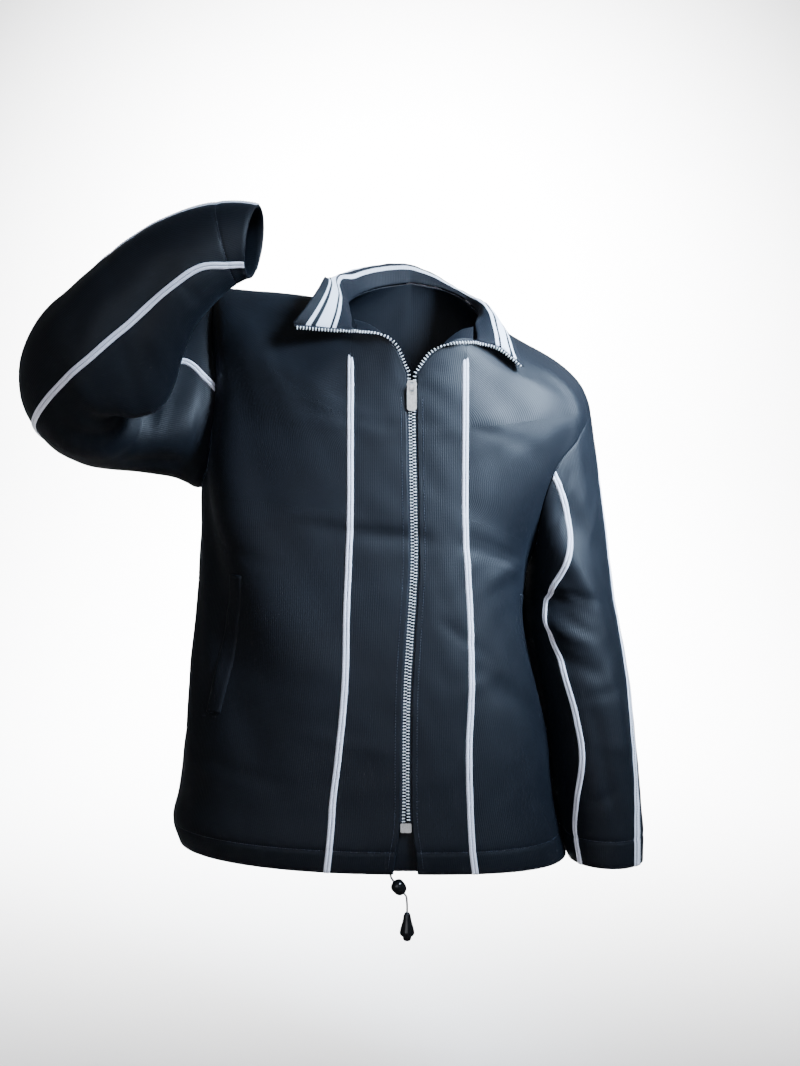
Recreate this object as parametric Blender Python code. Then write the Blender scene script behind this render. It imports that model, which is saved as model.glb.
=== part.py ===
"""Track jacket, worn form: stand-and-fall collar, full front zip, princess seams with piping.

One sleeve is raised and sharply bent at the elbow, the other hangs.  Metres, +Z up, +X to the
viewer's right, the front faces -Y.  The origin is the middle of the neck opening, level with the
two high shoulder points.  Left and right are the viewer's, seen from the front.
"""
import math

import bmesh
import bpy
import numpy as np

# ---------------------------------------------------------------- sizes of cloth and trims
CLOTH = 0.0016            # wall of the double-knit cloth
HEM_WALL = 0.0030         # cloth turned up at hem and cuffs
SEAM_GAP = 0.00030        # between two pieces that are sewn together
SLEEVE_SEAM_GAP = 0.00070
HEM_LEVEL = 0.04          # level of the hem's topstitching, 27 mm above the edge
PIPING_WIDTH = 0.0078
PIPING_RISE = 0.0011
PIPING_TOP_LEVELS = (0.92, 0.945)   # where the left and the right front piping end
SLEEVE_LIFT = 0.00090     # between a sleeve's piping and its cloth
TAPE_WIDTH = 0.0130       # double stripe down the outer arm
TAPE_RISE = 0.0011
TRIM_LIFT = 0.00030       # between a trim and the cloth that it is sewn on
CUFF_TURN = 0.030         # depth of the turned cuff

# ---------------------------------------------------------------- zip
TAPE_SHOWS = 0.0030       # zip tape that shows beside the teeth
TAPE_UNDER = 0.0090       # zip tape behind the front's edge
TAPE_THICK = 0.0008
TEETH_WIDTH = 0.0030      # one side's teeth
TEETH_THICK = 0.0022
TAPE_DEPTH = 0.0019       # of the tape's face behind the front's outer face
TAPE_DEPTH_OPEN = 0.0016  # the same where the zip is open
TAPE_CLEAR = 0.0008       # from the front's edge to the tape where the zip is open
PART_SHIFT = 0.0011       # how far each side has parted at the slider's top
PART_LEVELS = (0.930, 0.943)   # between which the two sides part
ZIP_BOTTOM_LEVEL = 0.083  # lower end of the teeth
SLIDER_WIDTH = 0.0112
SLIDER_LENGTH = 0.0150
SLIDER_LEVEL = 0.931
SLIDER_FRONT = 0.0005     # depths of the slider's two plates
SLIDER_FRONT_REAR = -0.0009
SLIDER_REAR_FRONT = -0.0037
SLIDER_REAR = -0.0051
POST_WIDTH = 0.0016
PIVOT_DEPTH = 0.0024      # of the pull tab's crossbar in front of the fronts
BRIDGE_RISE = 0.0044
BRIDGE_WIDTH = 0.0036
BRIDGE_LENGTH = 0.0105
BRIDGE_BAR = 0.0013
TAB_LENGTH = 0.0270
TAB_WIDTH = 0.0105
TAB_THICK = 0.0015
SLOT_WIDTH = 0.0056
SLOT_LENGTH = 0.0075
BOX_WIDTH = 0.0118
BOX_HEIGHT = 0.0100
BOX_FRONT = -0.0004       # depths of the box's two faces
BOX_REAR = -0.0051
BOX_LEVEL = 0.083
GUARD_WIDTH = 0.0340
GUARD_DEPTH = 0.0056
GUARD_THICK = 0.0012
ZIP_LEVELS = (0.099, 0.14, 0.20, 0.26, 0.32, 0.38, 0.43, 0.48, 0.52, 0.56, 0.60, 0.6357, 0.6658, 0.70,
              0.7362, 0.7676, 0.80, 0.83, 0.86, 0.89, 0.92, 0.930, 0.934, 0.938, 0.943, 0.956, 0.968, 1.0)
ZIP_OPEN_TURNS = (7.0, 12.0, 17.0, 24.0, 30.0, 36.0, 41.0, 45.0)
ZIP_COLLAR_SHARES = (0.06, 0.16, 0.26, 0.33, 0.40, 0.50, 0.62, 0.75, 0.88, 0.97)
GUARD_LEVELS = (0.012, 0.04, 0.083, 0.14, 0.20, 0.26, 0.32, 0.38, 0.43, 0.48, 0.52, 0.56, 0.60, 0.65, 0.70,
                0.75, 0.80, 0.84, 0.88, 0.92, 0.94)

# ---------------------------------------------------------------- collar
# Fold line and free edge of the collar, round from the right front over the back to the left.
#        turn     x       y       z
COLLAR_FOLD = (
    (46.0, 0.0960, -0.103, -0.0630),
    (55.0, 0.0950, -0.092, -0.0470),
    (65.0, 0.0920, -0.071, -0.0230),
    (80.0, 0.0870, -0.035, -0.0020),
    (95.0, 0.0840, -0.004, 0.0090),
    (115.0, 0.0750, 0.035, 0.0240),
    (140.0, 0.0530, 0.068, 0.0430),
    (160.0, 0.0280, 0.082, 0.0620),
    (180.0, 0.0000, 0.086, 0.0740),
    (220.0, -0.0580, 0.068, 0.0680),
    (245.0, -0.0810, 0.038, 0.0540),
    (265.0, -0.0890, 0.002, 0.0400),
    (280.0, -0.0890, -0.036, 0.0250),
    (295.0, -0.0840, -0.074, 0.0000),
    (305.0, -0.0850, -0.095, -0.0215),
    (314.0, -0.0900, -0.110, -0.0440),
)
COLLAR_EDGE = (
    (46.0, 0.1230, -0.1000, -0.0840),
    (55.0, 0.1195, -0.0910, -0.0720),
    (65.0, 0.1150, -0.0740, -0.0540),
    (80.0, 0.1060, -0.0400, -0.0280),
    (95.0, 0.1010, -0.0050, -0.0110),
    (115.0, 0.0960, 0.0420, 0.0020),
    (140.0, 0.0680, 0.0860, 0.0160),
    (160.0, 0.0340, 0.0980, 0.0290),
    (180.0, 0.0000, 0.1020, 0.0370),
    (220.0, -0.0700, 0.0860, 0.0330),
    (245.0, -0.0950, 0.0450, 0.0310),
    (262.0, -0.1030, 0.0080, 0.0300),
    (278.0, -0.1020, -0.0420, 0.0280),
    (292.0, -0.1010, -0.0840, 0.0160),
    (300.0, -0.1070, -0.0990, 0.0000),
    (307.0, -0.1190, -0.1070, -0.0200),
    (314.0, -0.1345, -0.1120, -0.0405),
)
COLLAR_SEAT = (0.0016, 0.0012)   # of its lower edge, on from the neckline and out of the body
COLLAR_WALL = 0.0020
FOLD_SHARE = 0.37         # share of the collar's height below its fold
FOLD_ROUND = 0.020        # how widely the collar rolls over at the fold
COLLAR_START = 47.0       # turns at which the collar's two front ends lie
COLLAR_END = 313.0

# ---------------------------------------------------------------- hem cord
CORD_RADIUS = 0.00115
CORD_UPPER = ((-0.0246, -0.1344, -0.6354), (-0.0240, -0.1347, -0.6382), (-0.02143, -0.13538, -0.64184))
CORD_LOWER = ((-0.0101, -0.1364, -0.6548), (-0.0080, -0.1366, -0.6575), (-0.0070, -0.1368, -0.6640),
              (-0.0068, -0.1368, -0.6752))
LOCK_FOOT = (-0.0212, -0.1354, -0.6421)
LOCK_AXIS = (0.66, -0.06, -0.75)
#        distance radius
LOCK_PROFILE = ((0.0, 0.0014), (0.0008, 0.0036), (0.0020, 0.0058), (0.0045, 0.0074), (0.0085, 0.0075), (0.0125, 0.0068),
                (0.0155, 0.0048), (0.0166, 0.0030))
BELL_FOOT = (-0.0068, -0.1368, -0.6756)
BELL_AXIS = (0.0, 0.0, -1.0)
BELL_PROFILE = ((0.0, 0.0026), (0.0020, 0.0036), (0.0080, 0.0048), (0.0150, 0.0068), (0.0200, 0.0079),
                (0.0225, 0.0078), (0.0240, 0.0066), (0.0250, 0.0048), (0.0275, 0.0046), (0.0292, 0.0036),
                (0.0300, 0.0018))

# ---------------------------------------------------------------- body of the jacket
# Each level is a closed ring: heights and reaches at the front, right, back and left.
#        level  z_front z_right z_back  z_left  x_right x_left  y_front y_back  square
LEVELS = (
    (0.00, -0.635, -0.642, -0.648, -0.626, 0.182, -0.2755, -0.136, 0.124, 2.50),
    (0.04, -0.612, -0.617, -0.622, -0.603, 0.175, -0.2830, -0.140, 0.128, 2.50),
    (0.10, -0.573, -0.577, -0.582, -0.568, 0.167, -0.2765, -0.139, 0.127, 2.50),
    (0.20, -0.510, -0.512, -0.516, -0.508, 0.160, -0.2690, -0.138, 0.126, 2.50),
    (0.32, -0.430, -0.434, -0.432, -0.425, 0.144, -0.2595, -0.136, 0.124, 2.50),
    (0.43, -0.356, -0.364, -0.350, -0.345, 0.130, -0.2510, -0.133, 0.122, 2.50),
    (0.52, -0.298, -0.325, -0.285, -0.275, 0.134, -0.2500, -0.130, 0.121, 2.50),
    (0.60, -0.248, -0.292, -0.225, -0.212, 0.143, -0.2510, -0.128, 0.120, 2.45),
    (0.70, -0.195, -0.205, -0.150, -0.095, 0.190, -0.238, -0.125, 0.117, 2.40),
    (0.80, -0.155, -0.122, -0.080, 0.018, 0.212, -0.232, -0.1225, 0.110, 2.40),
    (0.87, -0.135, -0.074, -0.035, 0.023, 0.188, -0.190, -0.1210, 0.102, 2.40),
    (0.94, -0.118, -0.044, 0.012, 0.021, 0.140, -0.140, -0.1200, 0.092, 2.40),
    (1.00, -0.100, -0.008, 0.048, 0.010, 0.083, -0.083, -0.1190, 0.080, 2.60),
)
NECK_BLEND_LEVEL = 0.84   # above it the rings run into the neck opening

# The neck opening, from the slider round to the back: unzipped edges, then the neckline seam.
#        turn     x       y       z
NECK = (
    (-180.0, 0.000, 0.078, 0.050),
    (-150.0, -0.040, 0.068, 0.042),
    (-125.0, -0.066, 0.042, 0.028),
    (-100.0, -0.078, 0.003, 0.010),
    (-80.0, -0.076, -0.036, -0.004),
    (-62.0, -0.071, -0.080, -0.026),
    (-46.0, -0.065, -0.108, -0.045),
    (-36.0, -0.0455, -0.117, -0.0475),
    (-24.0, -0.0290, -0.121, -0.0565),
    (-12.0, -0.0165, -0.121, -0.0730),
    (-4.0, -0.0077, -0.1195, -0.0940),
    (0.0, -0.0015, -0.1190, -0.1020),
    (4.0, 0.0047, -0.1195, -0.0950),
    (12.0, 0.0130, -0.121, -0.0830),
    (24.0, 0.0296, -0.121, -0.0665),
    (36.0, 0.0516, -0.116, -0.0565),
    (46.0, 0.0695, -0.104, -0.0565),
    (62.0, 0.0715, -0.078, -0.0340),
    (80.0, 0.0780, -0.034, -0.0160),
    (100.0, 0.0780, 0.003, -0.0020),
    (125.0, 0.0640, 0.042, 0.0220),
    (150.0, 0.0380, 0.068, 0.0400),
    (180.0, 0.000, 0.078, 0.050),
)
SEAM_TURN = 46.0          # where the neckline seam meets the zip

# Seams that run down the body, as the distance in X from the middle at each level, and half
# of the opening between the two fronts, which part below the zip.
#        level  princess_left zip_middle princess_right half_gap
SEAMS = (
    (0.00, -0.0937, -0.0085, 0.0670, 0.0140),
    (0.04, -0.0910, -0.0082, 0.0640, 0.0115),
    (0.083, -0.0885, -0.0080, 0.0622, 0.0072),
    (0.12, -0.0870, -0.0080, 0.0612, 0.0062),
    (0.20, -0.0810, -0.0080, 0.0600, 0.0062),
    (0.32, -0.0735, -0.0065, 0.0632, 0.0062),
    (0.43, -0.0722, -0.0020, 0.0620, 0.0062),
    (0.52, -0.0700, 0.0010, 0.0590, 0.0062),
    (0.60, -0.0685, 0.0005, 0.0568, 0.0062),
    (0.70, -0.0684, -0.0005, 0.0566, 0.0062),
    (0.80, -0.0684, -0.0012, 0.0570, 0.0062),
    (0.90, -0.0684, -0.0015, 0.0575, 0.0062),
    (1.00, -0.0684, -0.0015, 0.0590, 0.0062),
)
FRONT_HALF_GAP = 0.0062   # least half of the opening, which the teeth need

# The right side seam runs back towards the hem, because the body is drawn to the left.
#        level  turn
SIDE_RIGHT = ((0.0, 108.0), (0.3, 103.0), (0.6, 90.0), (1.0, 90.0))

ARMHOLE_MIDDLE = 0.70     # level of the armhole's middle
ARMHOLE_REACH = 0.10      # levels from its middle to its top and bottom
ARMHOLE_RIGHT = (38.0, 34.0)   # degrees cut away in front of and behind the side
ARMHOLE_LEFT = (25.0, 25.0)

# Folds of the body: a line from start to end, ridge above zero and trough below.
#        turn0  level0 turn1  level1 width  height
FOLDS = (
    (-62.0, 0.74, -36.0, 0.44, 0.030, 0.0085),
    (-36.0, 0.44, -20.0, 0.30, 0.026, 0.0045),
    (-74.0, 0.64, -48.0, 0.36, 0.026, -0.0085),
    (-48.0, 0.36, -34.0, 0.16, 0.024, -0.0040),
    (-84.0, 0.50, -64.0, 0.20, 0.022, 0.0050),
    (-20.0, 0.56, 10.0, 0.555, 0.010, -0.0022),
    (22.0, 0.555, 50.0, 0.54, 0.009, -0.0025),
    (38.0, 0.50, 62.0, 0.56, 0.012, 0.0030),
    (30.0, 0.34, 62.0, 0.25, 0.014, -0.0035),
    (54.0, 0.45, 70.0, 0.22, 0.020, 0.0032),
    (68.0, 0.42, 84.0, 0.16, 0.020, -0.0030),
    (58.0, 0.87, 57.0, 0.70, 0.011, 0.0040),
    (72.0, 0.86, 70.0, 0.78, 0.011, -0.0030),
    (-50.0, 0.93, -60.0, 0.84, 0.018, -0.0050),
    (-34.0, 0.90, -24.0, 0.80, 0.016, 0.0025),
    (28.0, 0.92, 34.0, 0.80, 0.018, -0.0025),
    (205.0, 0.60, 180.0, 0.36, 0.030, 0.0060),
    (230.0, 0.56, 214.0, 0.24, 0.026, -0.0065),
    (150.0, 0.62, 162.0, 0.34, 0.028, -0.0055),
    (128.0, 0.55, 138.0, 0.22, 0.022, 0.0060),
    (170.0, 0.30, 200.0, 0.27, 0.016, -0.0035),
    (246.0, 0.44, 238.0, 0.12, 0.022, 0.0055),
    (180.0, 0.90, 180.0, 0.80, 0.026, -0.0030),
    (112.0, 0.40, 118.0, 0.12, 0.018, -0.0045),
)
TURN_SCALE = 0.0032       # metres of cloth to a degree of turn
LEVEL_SCALE = 0.62        # metres of cloth to one level

# ---------------------------------------------------------------- hanging sleeve
# Rings from the armpit to the cuff: middle of the ring, half width and half depth.
#        z       x_mid   y_mid   half_w  half_d
RIGHT_ARM = (
    (-0.345, 0.1890, -0.010, 0.0490, 0.0670),
    (-0.390, 0.1945, -0.018, 0.0510, 0.0630),
    (-0.430, 0.2010, -0.024, 0.0510, 0.0600),
    (-0.500, 0.2110, -0.029, 0.0490, 0.0560),
    (-0.570, 0.2190, -0.032, 0.0470, 0.0520),
    (-0.612, 0.2240, -0.034, 0.0450, 0.0480),
    (-0.646, 0.2260, -0.035, 0.0425, 0.0455),
)
RIGHT_ARM_BY_DEPTH = tuple((-row[0], *row[1:]) for row in RIGHT_ARM)
CAP_SHARE = 0.40          # share of the hanging sleeve from the armhole to its first ring
# Slack cloth tucked in behind the body's side: how far it reaches in and back at each depth, and its turn and spread.
RIGHT_TUCK = (
    (0.345, 0.0250, 0.004),
    (0.390, 0.0245, 0.008),
    (0.430, 0.0205, 0.012),
    (0.500, 0.0150, 0.016),
    (0.570, 0.0178, 0.018),
    (0.612, 0.0158, 0.020),
    (0.646, 0.0057, 0.018),
)
TUCK_PLACE = (234.0, 30.0)

# ---------------------------------------------------------------- raised sleeve
ELBOW = (-0.371, -0.103, -0.115)       # middle of the arm at the elbow's bend
CUFF = (-0.168, -0.160, 0.039)         # middle of the cuff's opening
SHOULDER = (-0.235, 0.004, -0.098)     # middle of the armhole
BEND_RADIUS = 0.075                    # of the arm's middle line round the elbow
UPPER_HALF = (0.070, 0.092)            # half sizes across and along the bend's axis
ELBOW_HALF = (0.058, 0.066)
FOREARM_HALF = (0.053, 0.064)
FOREARM_MIDDLE_HALF = (0.047, 0.056)
CUFF_HALF = (0.034, 0.041)

CUFF_LEAVE = 0.165                     # how strongly the forearm bows up before the cuff
CUFF_ARRIVE = (0.185, -0.020, -0.030)  # way that the sleeve runs at the cuff
LEFT_CAP_SHARE = 0.26     # share of the raised sleeve over which the armhole turns into a ring
CAP_CARRY = 0.55          # how far the armhole's shape is carried along the arm meanwhile
LEFT_TOP_TURN = -129.0    # turn of the armhole's top from the elbow's outer side
CROOK = (51.0, 0.39)      # turn and share of the raised sleeve at the inside of the elbow
# Slack cloth of the forearm that hangs over the crook: turn, place along, and its spreads round, before and after.
DRAPE = (120.0, 0.655, 42.0, 0.12, 0.075)
DRAPE_DROP = (0.0, 0.022, -0.045)

# Turn of each trim round a sleeve, with 0 at the top of the armhole and 90 at its front.
#        along  tape   front   back
RIGHT_TRIMS = (
    (0.00, 0.0, 90.0, -90.0),
    (0.06, 3.0, 85.0, -94.0),
    (0.135, 6.0, 82.0, -97.0),
    (0.215, 10.0, 86.0, -100.0),
    (0.27, 12.0, 98.0, -101.0),
    (0.325, 14.0, 120.0, -102.0),
    (0.40, 16.0, 138.0, -103.0),
    (0.45, 17.0, 138.0, -103.0),
    (0.535, 21.0, 128.0, -103.0),
    (0.665, 30.0, 118.0, -102.0),
    (0.755, 35.0, 118.0, -101.0),
    (0.85, 40.0, 134.0, -100.0),
    (0.925, 44.0, 147.0, -99.0),
    (1.00, 45.0, 144.0, -98.0),
)
LEFT_TRIMS = (
    (0.00, 0.0, 84.0, -90.0),
    (0.05, -2.0, 75.0, -97.0),
    (0.12, -5.0, 57.0, -104.0),
    (0.20, -9.0, 62.0, -110.0),
    (0.27, -14.0, 76.0, -118.0),
    (0.395, -34.0, 88.0, -142.0),
    (0.445, -42.0, 90.0, -158.0),
    (0.505, -50.0, 88.0, -170.0),
    (0.64, -65.0, 76.0, -174.0),
    (0.78, -77.0, 65.0, -180.0),
    (0.87, -82.0, 60.0, -184.0),
    (0.94, -81.0, 59.0, -199.0),
    (1.00, -78.0, 58.0, -205.0),
)

# Folds of the sleeves: a line from start to end, ridge above zero and trough below.
#        turn0  along0 turn1  along1 width  height
RIGHT_FOLDS = (
    (90.0, 0.10, 40.0, 0.34, 0.016, -0.0045),
    (110.0, 0.16, 60.0, 0.46, 0.014, 0.0040),
    (150.0, 0.34, 96.0, 0.44, 0.014, -0.0042),
    (150.0, 0.43, 90.0, 0.50, 0.011, 0.0045),
    (140.0, 0.52, 80.0, 0.56, 0.011, -0.0035),
    (60.0, 0.58, 50.0, 0.86, 0.013, 0.0030),
    (95.0, 0.66, 80.0, 0.90, 0.011, -0.0030),
    (230.0, 0.28, 290.0, 0.40, 0.016, -0.0040),
    (220.0, 0.44, 300.0, 0.52, 0.014, 0.0040),
    (250.0, 0.60, 270.0, 0.84, 0.014, -0.0035),
    (320.0, 0.50, 330.0, 0.80, 0.014, 0.0030),
)
LEFT_FOLDS = (
    (100.0, 0.05, 120.0, 0.30, 0.016, 0.0050),
    (130.0, 0.06, 150.0, 0.28, 0.014, -0.0050),
    (70.0, 0.10, 90.0, 0.34, 0.014, -0.0045),
    (50.0, 0.34, 130.0, 0.36, 0.013, -0.0032),
    (40.0, 0.50, 140.0, 0.49, 0.013, -0.0032),
    (150.0, 0.36, 200.0, 0.44, 0.016, 0.0045),
    (170.0, 0.52, 215.0, 0.66, 0.015, 0.0045),
    (160.0, 0.60, 200.0, 0.80, 0.014, -0.0040),
    (235.0, 0.56, 255.0, 0.84, 0.014, 0.0030),
    (300.0, 0.55, 310.0, 0.85, 0.014, -0.0030),
    (20.0, 0.58, 40.0, 0.84, 0.014, 0.0030),
    (215.0, 0.06, 200.0, 0.26, 0.018, -0.0045),
    (300.0, 0.05, 280.0, 0.26, 0.018, -0.0040),
)
ARM_TURN_SCALE = 0.0011   # metres of cloth to a degree of turn
ARM_LEVEL_SCALE = 0.50    # metres of cloth along a whole sleeve

# ---------------------------------------------------------------- pockets
POCKET_TOP_LEVEL = 0.48
POCKET_BOTTOM_LEVEL = 0.26
POCKET_SHARE = 0.085      # width of a pocket's welt as a share of the outer front
POCKET_RISE = 0.0014
LEFT_POCKET = (0.38, 0.45)     # place of the welt's inner edge at its top and bottom
RIGHT_POCKET = (0.56, 0.62)

# ---------------------------------------------------------------- steps of the lofted walls
LOWER_LEVELS = (0.0, 0.02, 0.04, 0.045, 0.083, 0.14, 0.20, 0.26, 0.32, 0.38, 0.43, 0.48, 0.52, 0.56)
ARMHOLE_TURNS = (180.0, 150.0, 130.0, 110.0, 90.0, 68.75, 47.5, 26.25, 0.0)
UPPER_LEVELS = (0.83, 0.86, 0.89, 0.92, 0.945, 0.968, 1.0)
INNER_COLUMNS = 6
BACK_COLUMNS = 16
SLEEVE_SIDE_COLUMNS = 4   # of a sleeve's upper piece, on each side of the tape
TAPE_HALF_TURN = (5.0, 8.0)    # half the tape's width at the armhole and at the cuff
UNDER_TURNS = (110.0, 130.0, 150.0, 180.0, 210.0, 230.0, 250.0)
RIGHT_STEPS = (0.0, 0.03, 0.07, 0.12, 0.18, 0.24, 0.30, 0.35, 0.40, 0.45, 0.50, 0.56, 0.63,
               0.70, 0.77, 0.84, 0.90, 0.937, 0.942, 0.97, 1.0)
LEFT_STEPS = (0.0, 0.03, 0.07, 0.12, 0.17, 0.22, 0.27, 0.30, 0.33, 0.36, 0.39, 0.42, 0.45,
              0.48, 0.51, 0.54, 0.58, 0.63, 0.68, 0.74, 0.80, 0.86, 0.90, 0.937, 0.942, 0.97, 1.0)
CUFF_SHARE = 0.942        # along both sleeves, where the turned cuff begins
COLLAR_COLUMNS = 32
COLLAR_SHARES = (0.0, 0.12, 0.24, 0.32, 0.37, 0.42, 0.50, 0.66, 0.83, 1.0)
FACING_START = 26.0       # turn at which the facing begins to show beside the zip
FACING_TOP_TURN = 60.0    # turn up to which it follows the collar's seam
FACING_MIN = 0.0040
FACING_BEHIND = 0.0021
FACING_THICK = 0.0012


# ================================================================ curves and surfaces
def table_curve(rows, position):
    """Read every column of a table at the given positions, on a smooth curve through its rows."""
    rows = np.asarray(rows, float)
    knots, values = rows[:, 0], rows[:, 1:]
    slopes = np.gradient(values, knots, axis=0)
    position = np.clip(np.asarray(position, float), knots[0], knots[-1])
    index = np.clip(np.searchsorted(knots, position, side="right") - 1, 0, len(knots) - 2)
    span = knots[index + 1] - knots[index]
    t = ((position - knots[index]) / span)[..., None]
    span = span[..., None]
    return ((1 + 2 * t) * (1 - t) ** 2 * values[index] + t * (1 - t) ** 2 * span * slopes[index]
            + t * t * (3 - 2 * t) * values[index + 1] - t * t * (1 - t) * span * slopes[index + 1])


def ease(value):
    """Go softly from 0 to 1 as the value does."""
    value = np.clip(value, 0.0, 1.0)
    return value * value * (3.0 - 2.0 * value)


def unit(vectors):
    """Make vectors one long."""
    vectors = np.asarray(vectors, float)
    return vectors / np.maximum(np.linalg.norm(vectors, axis=-1, keepdims=True), 1e-12)


def wrapped(turn):
    """Bring a turn to the range from -180 to 180 degrees."""
    return (np.asarray(turn, float) + 180.0) % 360.0 - 180.0


def fold_relief(turn, level, folds, turn_scale, level_scale):
    """Height of the folds at points of a surface, in metres along its normal."""
    height = np.zeros(np.broadcast(turn, level).shape)
    for turn0, level0, turn1, level1, width, rise in folds:
        across = wrapped(turn - turn0) * turn_scale
        along = (level - level0) * level_scale
        line = np.array(((turn1 - turn0) * turn_scale, (level1 - level0) * level_scale))
        share = (across * line[0] + along * line[1]) / line.dot(line)
        share = np.clip(share, 0.0, 1.0)
        away = np.hypot(across - share * line[0], along - share * line[1])
        height = height + rise * (0.45 + 0.55 * np.sin(np.pi * share)) * np.exp(-(away / width) ** 2)
    return height


def surface_normal(surface, first, second, sign):
    """Outward normal of a surface from its slopes in both directions."""
    first, second = np.broadcast_arrays(np.asarray(first, float), np.asarray(second, float))
    high, low = np.minimum(second + 0.003, 1.0), np.maximum(second - 0.003, 0.0)
    slope_a = surface(first + 0.6, second) - surface(first - 0.6, second)
    slope_b = surface(first, high) - surface(first, low)
    return sign * unit(np.cross(slope_a, slope_b))


def body_base(turn, level):
    """Point of the jacket's body before its folds; turn 0 is the front and 90 the right side."""
    turn, level = np.broadcast_arrays(np.asarray(turn, float), np.asarray(level, float))
    ring = table_curve(LEVELS, level)
    z_front, z_right, z_back, z_left, x_right, x_left, y_front, y_back, square = np.moveaxis(ring, -1, 0)
    angle = np.radians(turn)
    side, ahead = np.sin(angle), np.cos(angle)
    swell = (np.abs(side) ** square + np.abs(ahead) ** square) ** (-1.0 / square)
    x = np.where(side >= 0, x_right, -x_left) * side * swell
    y = np.where(ahead >= 0, y_front, -y_back) * ahead * swell
    z = np.where(side >= 0, z_right, z_left) * side ** 2 + np.where(ahead >= 0, z_front, z_back) * ahead ** 2
    ring_point = np.stack((x, y, z), axis=-1)
    neck_point = table_curve(NECK, wrapped(turn))
    share = np.clip((level - NECK_BLEND_LEVEL) / (1.0 - NECK_BLEND_LEVEL), 0.0, 1.0)[..., None]
    blend = 2.2 * share ** 2 - 1.2 * share ** 3
    return ring_point * (1.0 - blend) + neck_point * blend


def body(turn, level):
    """Point of the jacket's body with its folds."""
    normal = surface_normal(body_base, turn, level, 1.0)
    quiet = ease((1.0 - np.asarray(level, float)) / 0.06)
    height = fold_relief(turn, level, FOLDS, TURN_SCALE, LEVEL_SCALE) * quiet
    return body_base(turn, level) + normal * height[..., None]


def body_normal(turn, level):
    """Outward normal of the jacket's body."""
    return surface_normal(body, turn, level, 1.0)


def turn_at_x(level, x_wanted):
    """Turn on the front at which the body has the wanted X."""
    low = np.full(np.shape(level), -89.0)
    high = np.full(np.shape(level), 89.0)
    for _ in range(26):
        middle = 0.5 * (low + high)
        short = body_base(middle, level)[..., 0] < x_wanted
        low = np.where(short, middle, low)
        high = np.where(short, high, middle)
    return 0.5 * (low + high)


def seam_turn(level, column, offset=0.0):
    """Turn of a lengthwise seam of SEAMS at the given levels."""
    return turn_at_x(level, table_curve(SEAMS, level)[..., column] + offset)


def front_edge(level, side):
    """Turn of a front's edge beside the zip; side is -1 on the left and 1 on the right."""
    return seam_turn(level, 1, side * np.maximum(table_curve(SEAMS, level)[..., 3], FRONT_HALF_GAP))


def armhole_cut(level, degrees):
    """Degrees that an armhole takes from a panel at the given levels."""
    share = (np.asarray(level, float) - ARMHOLE_MIDDLE) / ARMHOLE_REACH
    return degrees * np.sqrt(np.clip(1.0 - share ** 2, 0.0, 1.0))


def right_side(level, which):
    """Turn at which the front (0) or the back (1) ends at the right side."""
    cut = armhole_cut(level, ARMHOLE_RIGHT[which])
    return np.maximum(table_curve(SIDE_RIGHT, level)[..., 0], 90.0) + (cut if which else -cut)


def left_side(level, which):
    """Turn at which the front (0) or the back (1) ends at the left side."""
    cut = armhole_cut(level, ARMHOLE_LEFT[which])
    return -90.0 + (-cut if which else cut)


# ================================================================ sleeves
def armhole_place(turn, side):
    """Turn and level on the body of a point of an armhole's edge."""
    angle = np.radians(turn)
    level = ARMHOLE_MIDDLE + ARMHOLE_REACH * np.cos(angle)
    reaches = ARMHOLE_RIGHT if side > 0 else ARMHOLE_LEFT
    reach = np.where(np.sin(angle) > 0, reaches[0], reaches[1])
    return side * (90.0 - reach * np.sin(angle)), level


def armhole(turn, side):
    """Point of an armhole's edge, which runs straight between the rows of the panels."""
    knots = np.array(ARMHOLE_TURNS[::-1])
    knots = np.concatenate((-knots[:0:-1], knots))
    points = body(*armhole_place(knots, side))
    return np.stack([np.interp(wrapped(turn), knots, points[:, axis]) for axis in range(3)], axis=-1)


def armhole_mitre(turn, side):
    """Direction that halves the angle between body and sleeve along an armhole."""
    normal = right_arm_normal if side > 0 else left_arm_normal
    turn = np.asarray(turn, float)
    return unit(body_normal(*armhole_place(turn, side)) + normal(turn, np.zeros(turn.shape)))


def right_arm_base(turn, along):
    """Point of the hanging sleeve before its folds."""
    turn, along = np.broadcast_arrays(np.asarray(turn, float), np.asarray(along, float))
    angle = np.radians(turn)
    first_z, last_z = RIGHT_ARM[0][0], RIGHT_ARM[-1][0]
    share = np.clip((along - CAP_SHARE) / (1.0 - CAP_SHARE), 0.0, 1.0)
    z = first_z + (last_z - first_z) * share
    middle_x, middle_y, half_w, half_d = np.moveaxis(table_curve(RIGHT_ARM_BY_DEPTH, -z), -1, 0)
    lobe = np.exp(-(wrapped(turn - TUCK_PLACE[0]) / TUCK_PLACE[1]) ** 2) * ease(along / 0.3)
    tuck = table_curve(RIGHT_TUCK, -z) * lobe[..., None]
    ring = np.stack((middle_x + half_w * np.cos(angle) - tuck[..., 0], middle_y - half_d * np.sin(angle) + tuck[..., 1], z),
                    axis=-1)
    blend = np.clip(along / CAP_SHARE, 0.0, 1.0)[..., None]
    return armhole(turn, 1) * (1.0 - blend) + ring * blend


def arm_frames():
    """Directions and turning points of the raised arm."""
    elbow, cuff, shoulder = (np.array(place) for place in (ELBOW, CUFF, SHOULDER))
    to_shoulder = unit(shoulder - elbow)
    to_cuff = unit(cuff - elbow)
    axis = unit(np.cross(to_shoulder, to_cuff))
    bisector = unit(to_shoulder + to_cuff)
    pivot = elbow + BEND_RADIUS * bisector
    out_upper = -unit(to_cuff - to_cuff.dot(to_shoulder) * to_shoulder)
    out_lower = -unit(to_shoulder - to_cuff.dot(to_shoulder) * to_cuff)
    bend = math.acos(np.clip(out_upper.dot(out_lower), -1.0, 1.0))
    return axis, pivot, out_upper, out_lower, bend, shoulder, cuff


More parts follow.
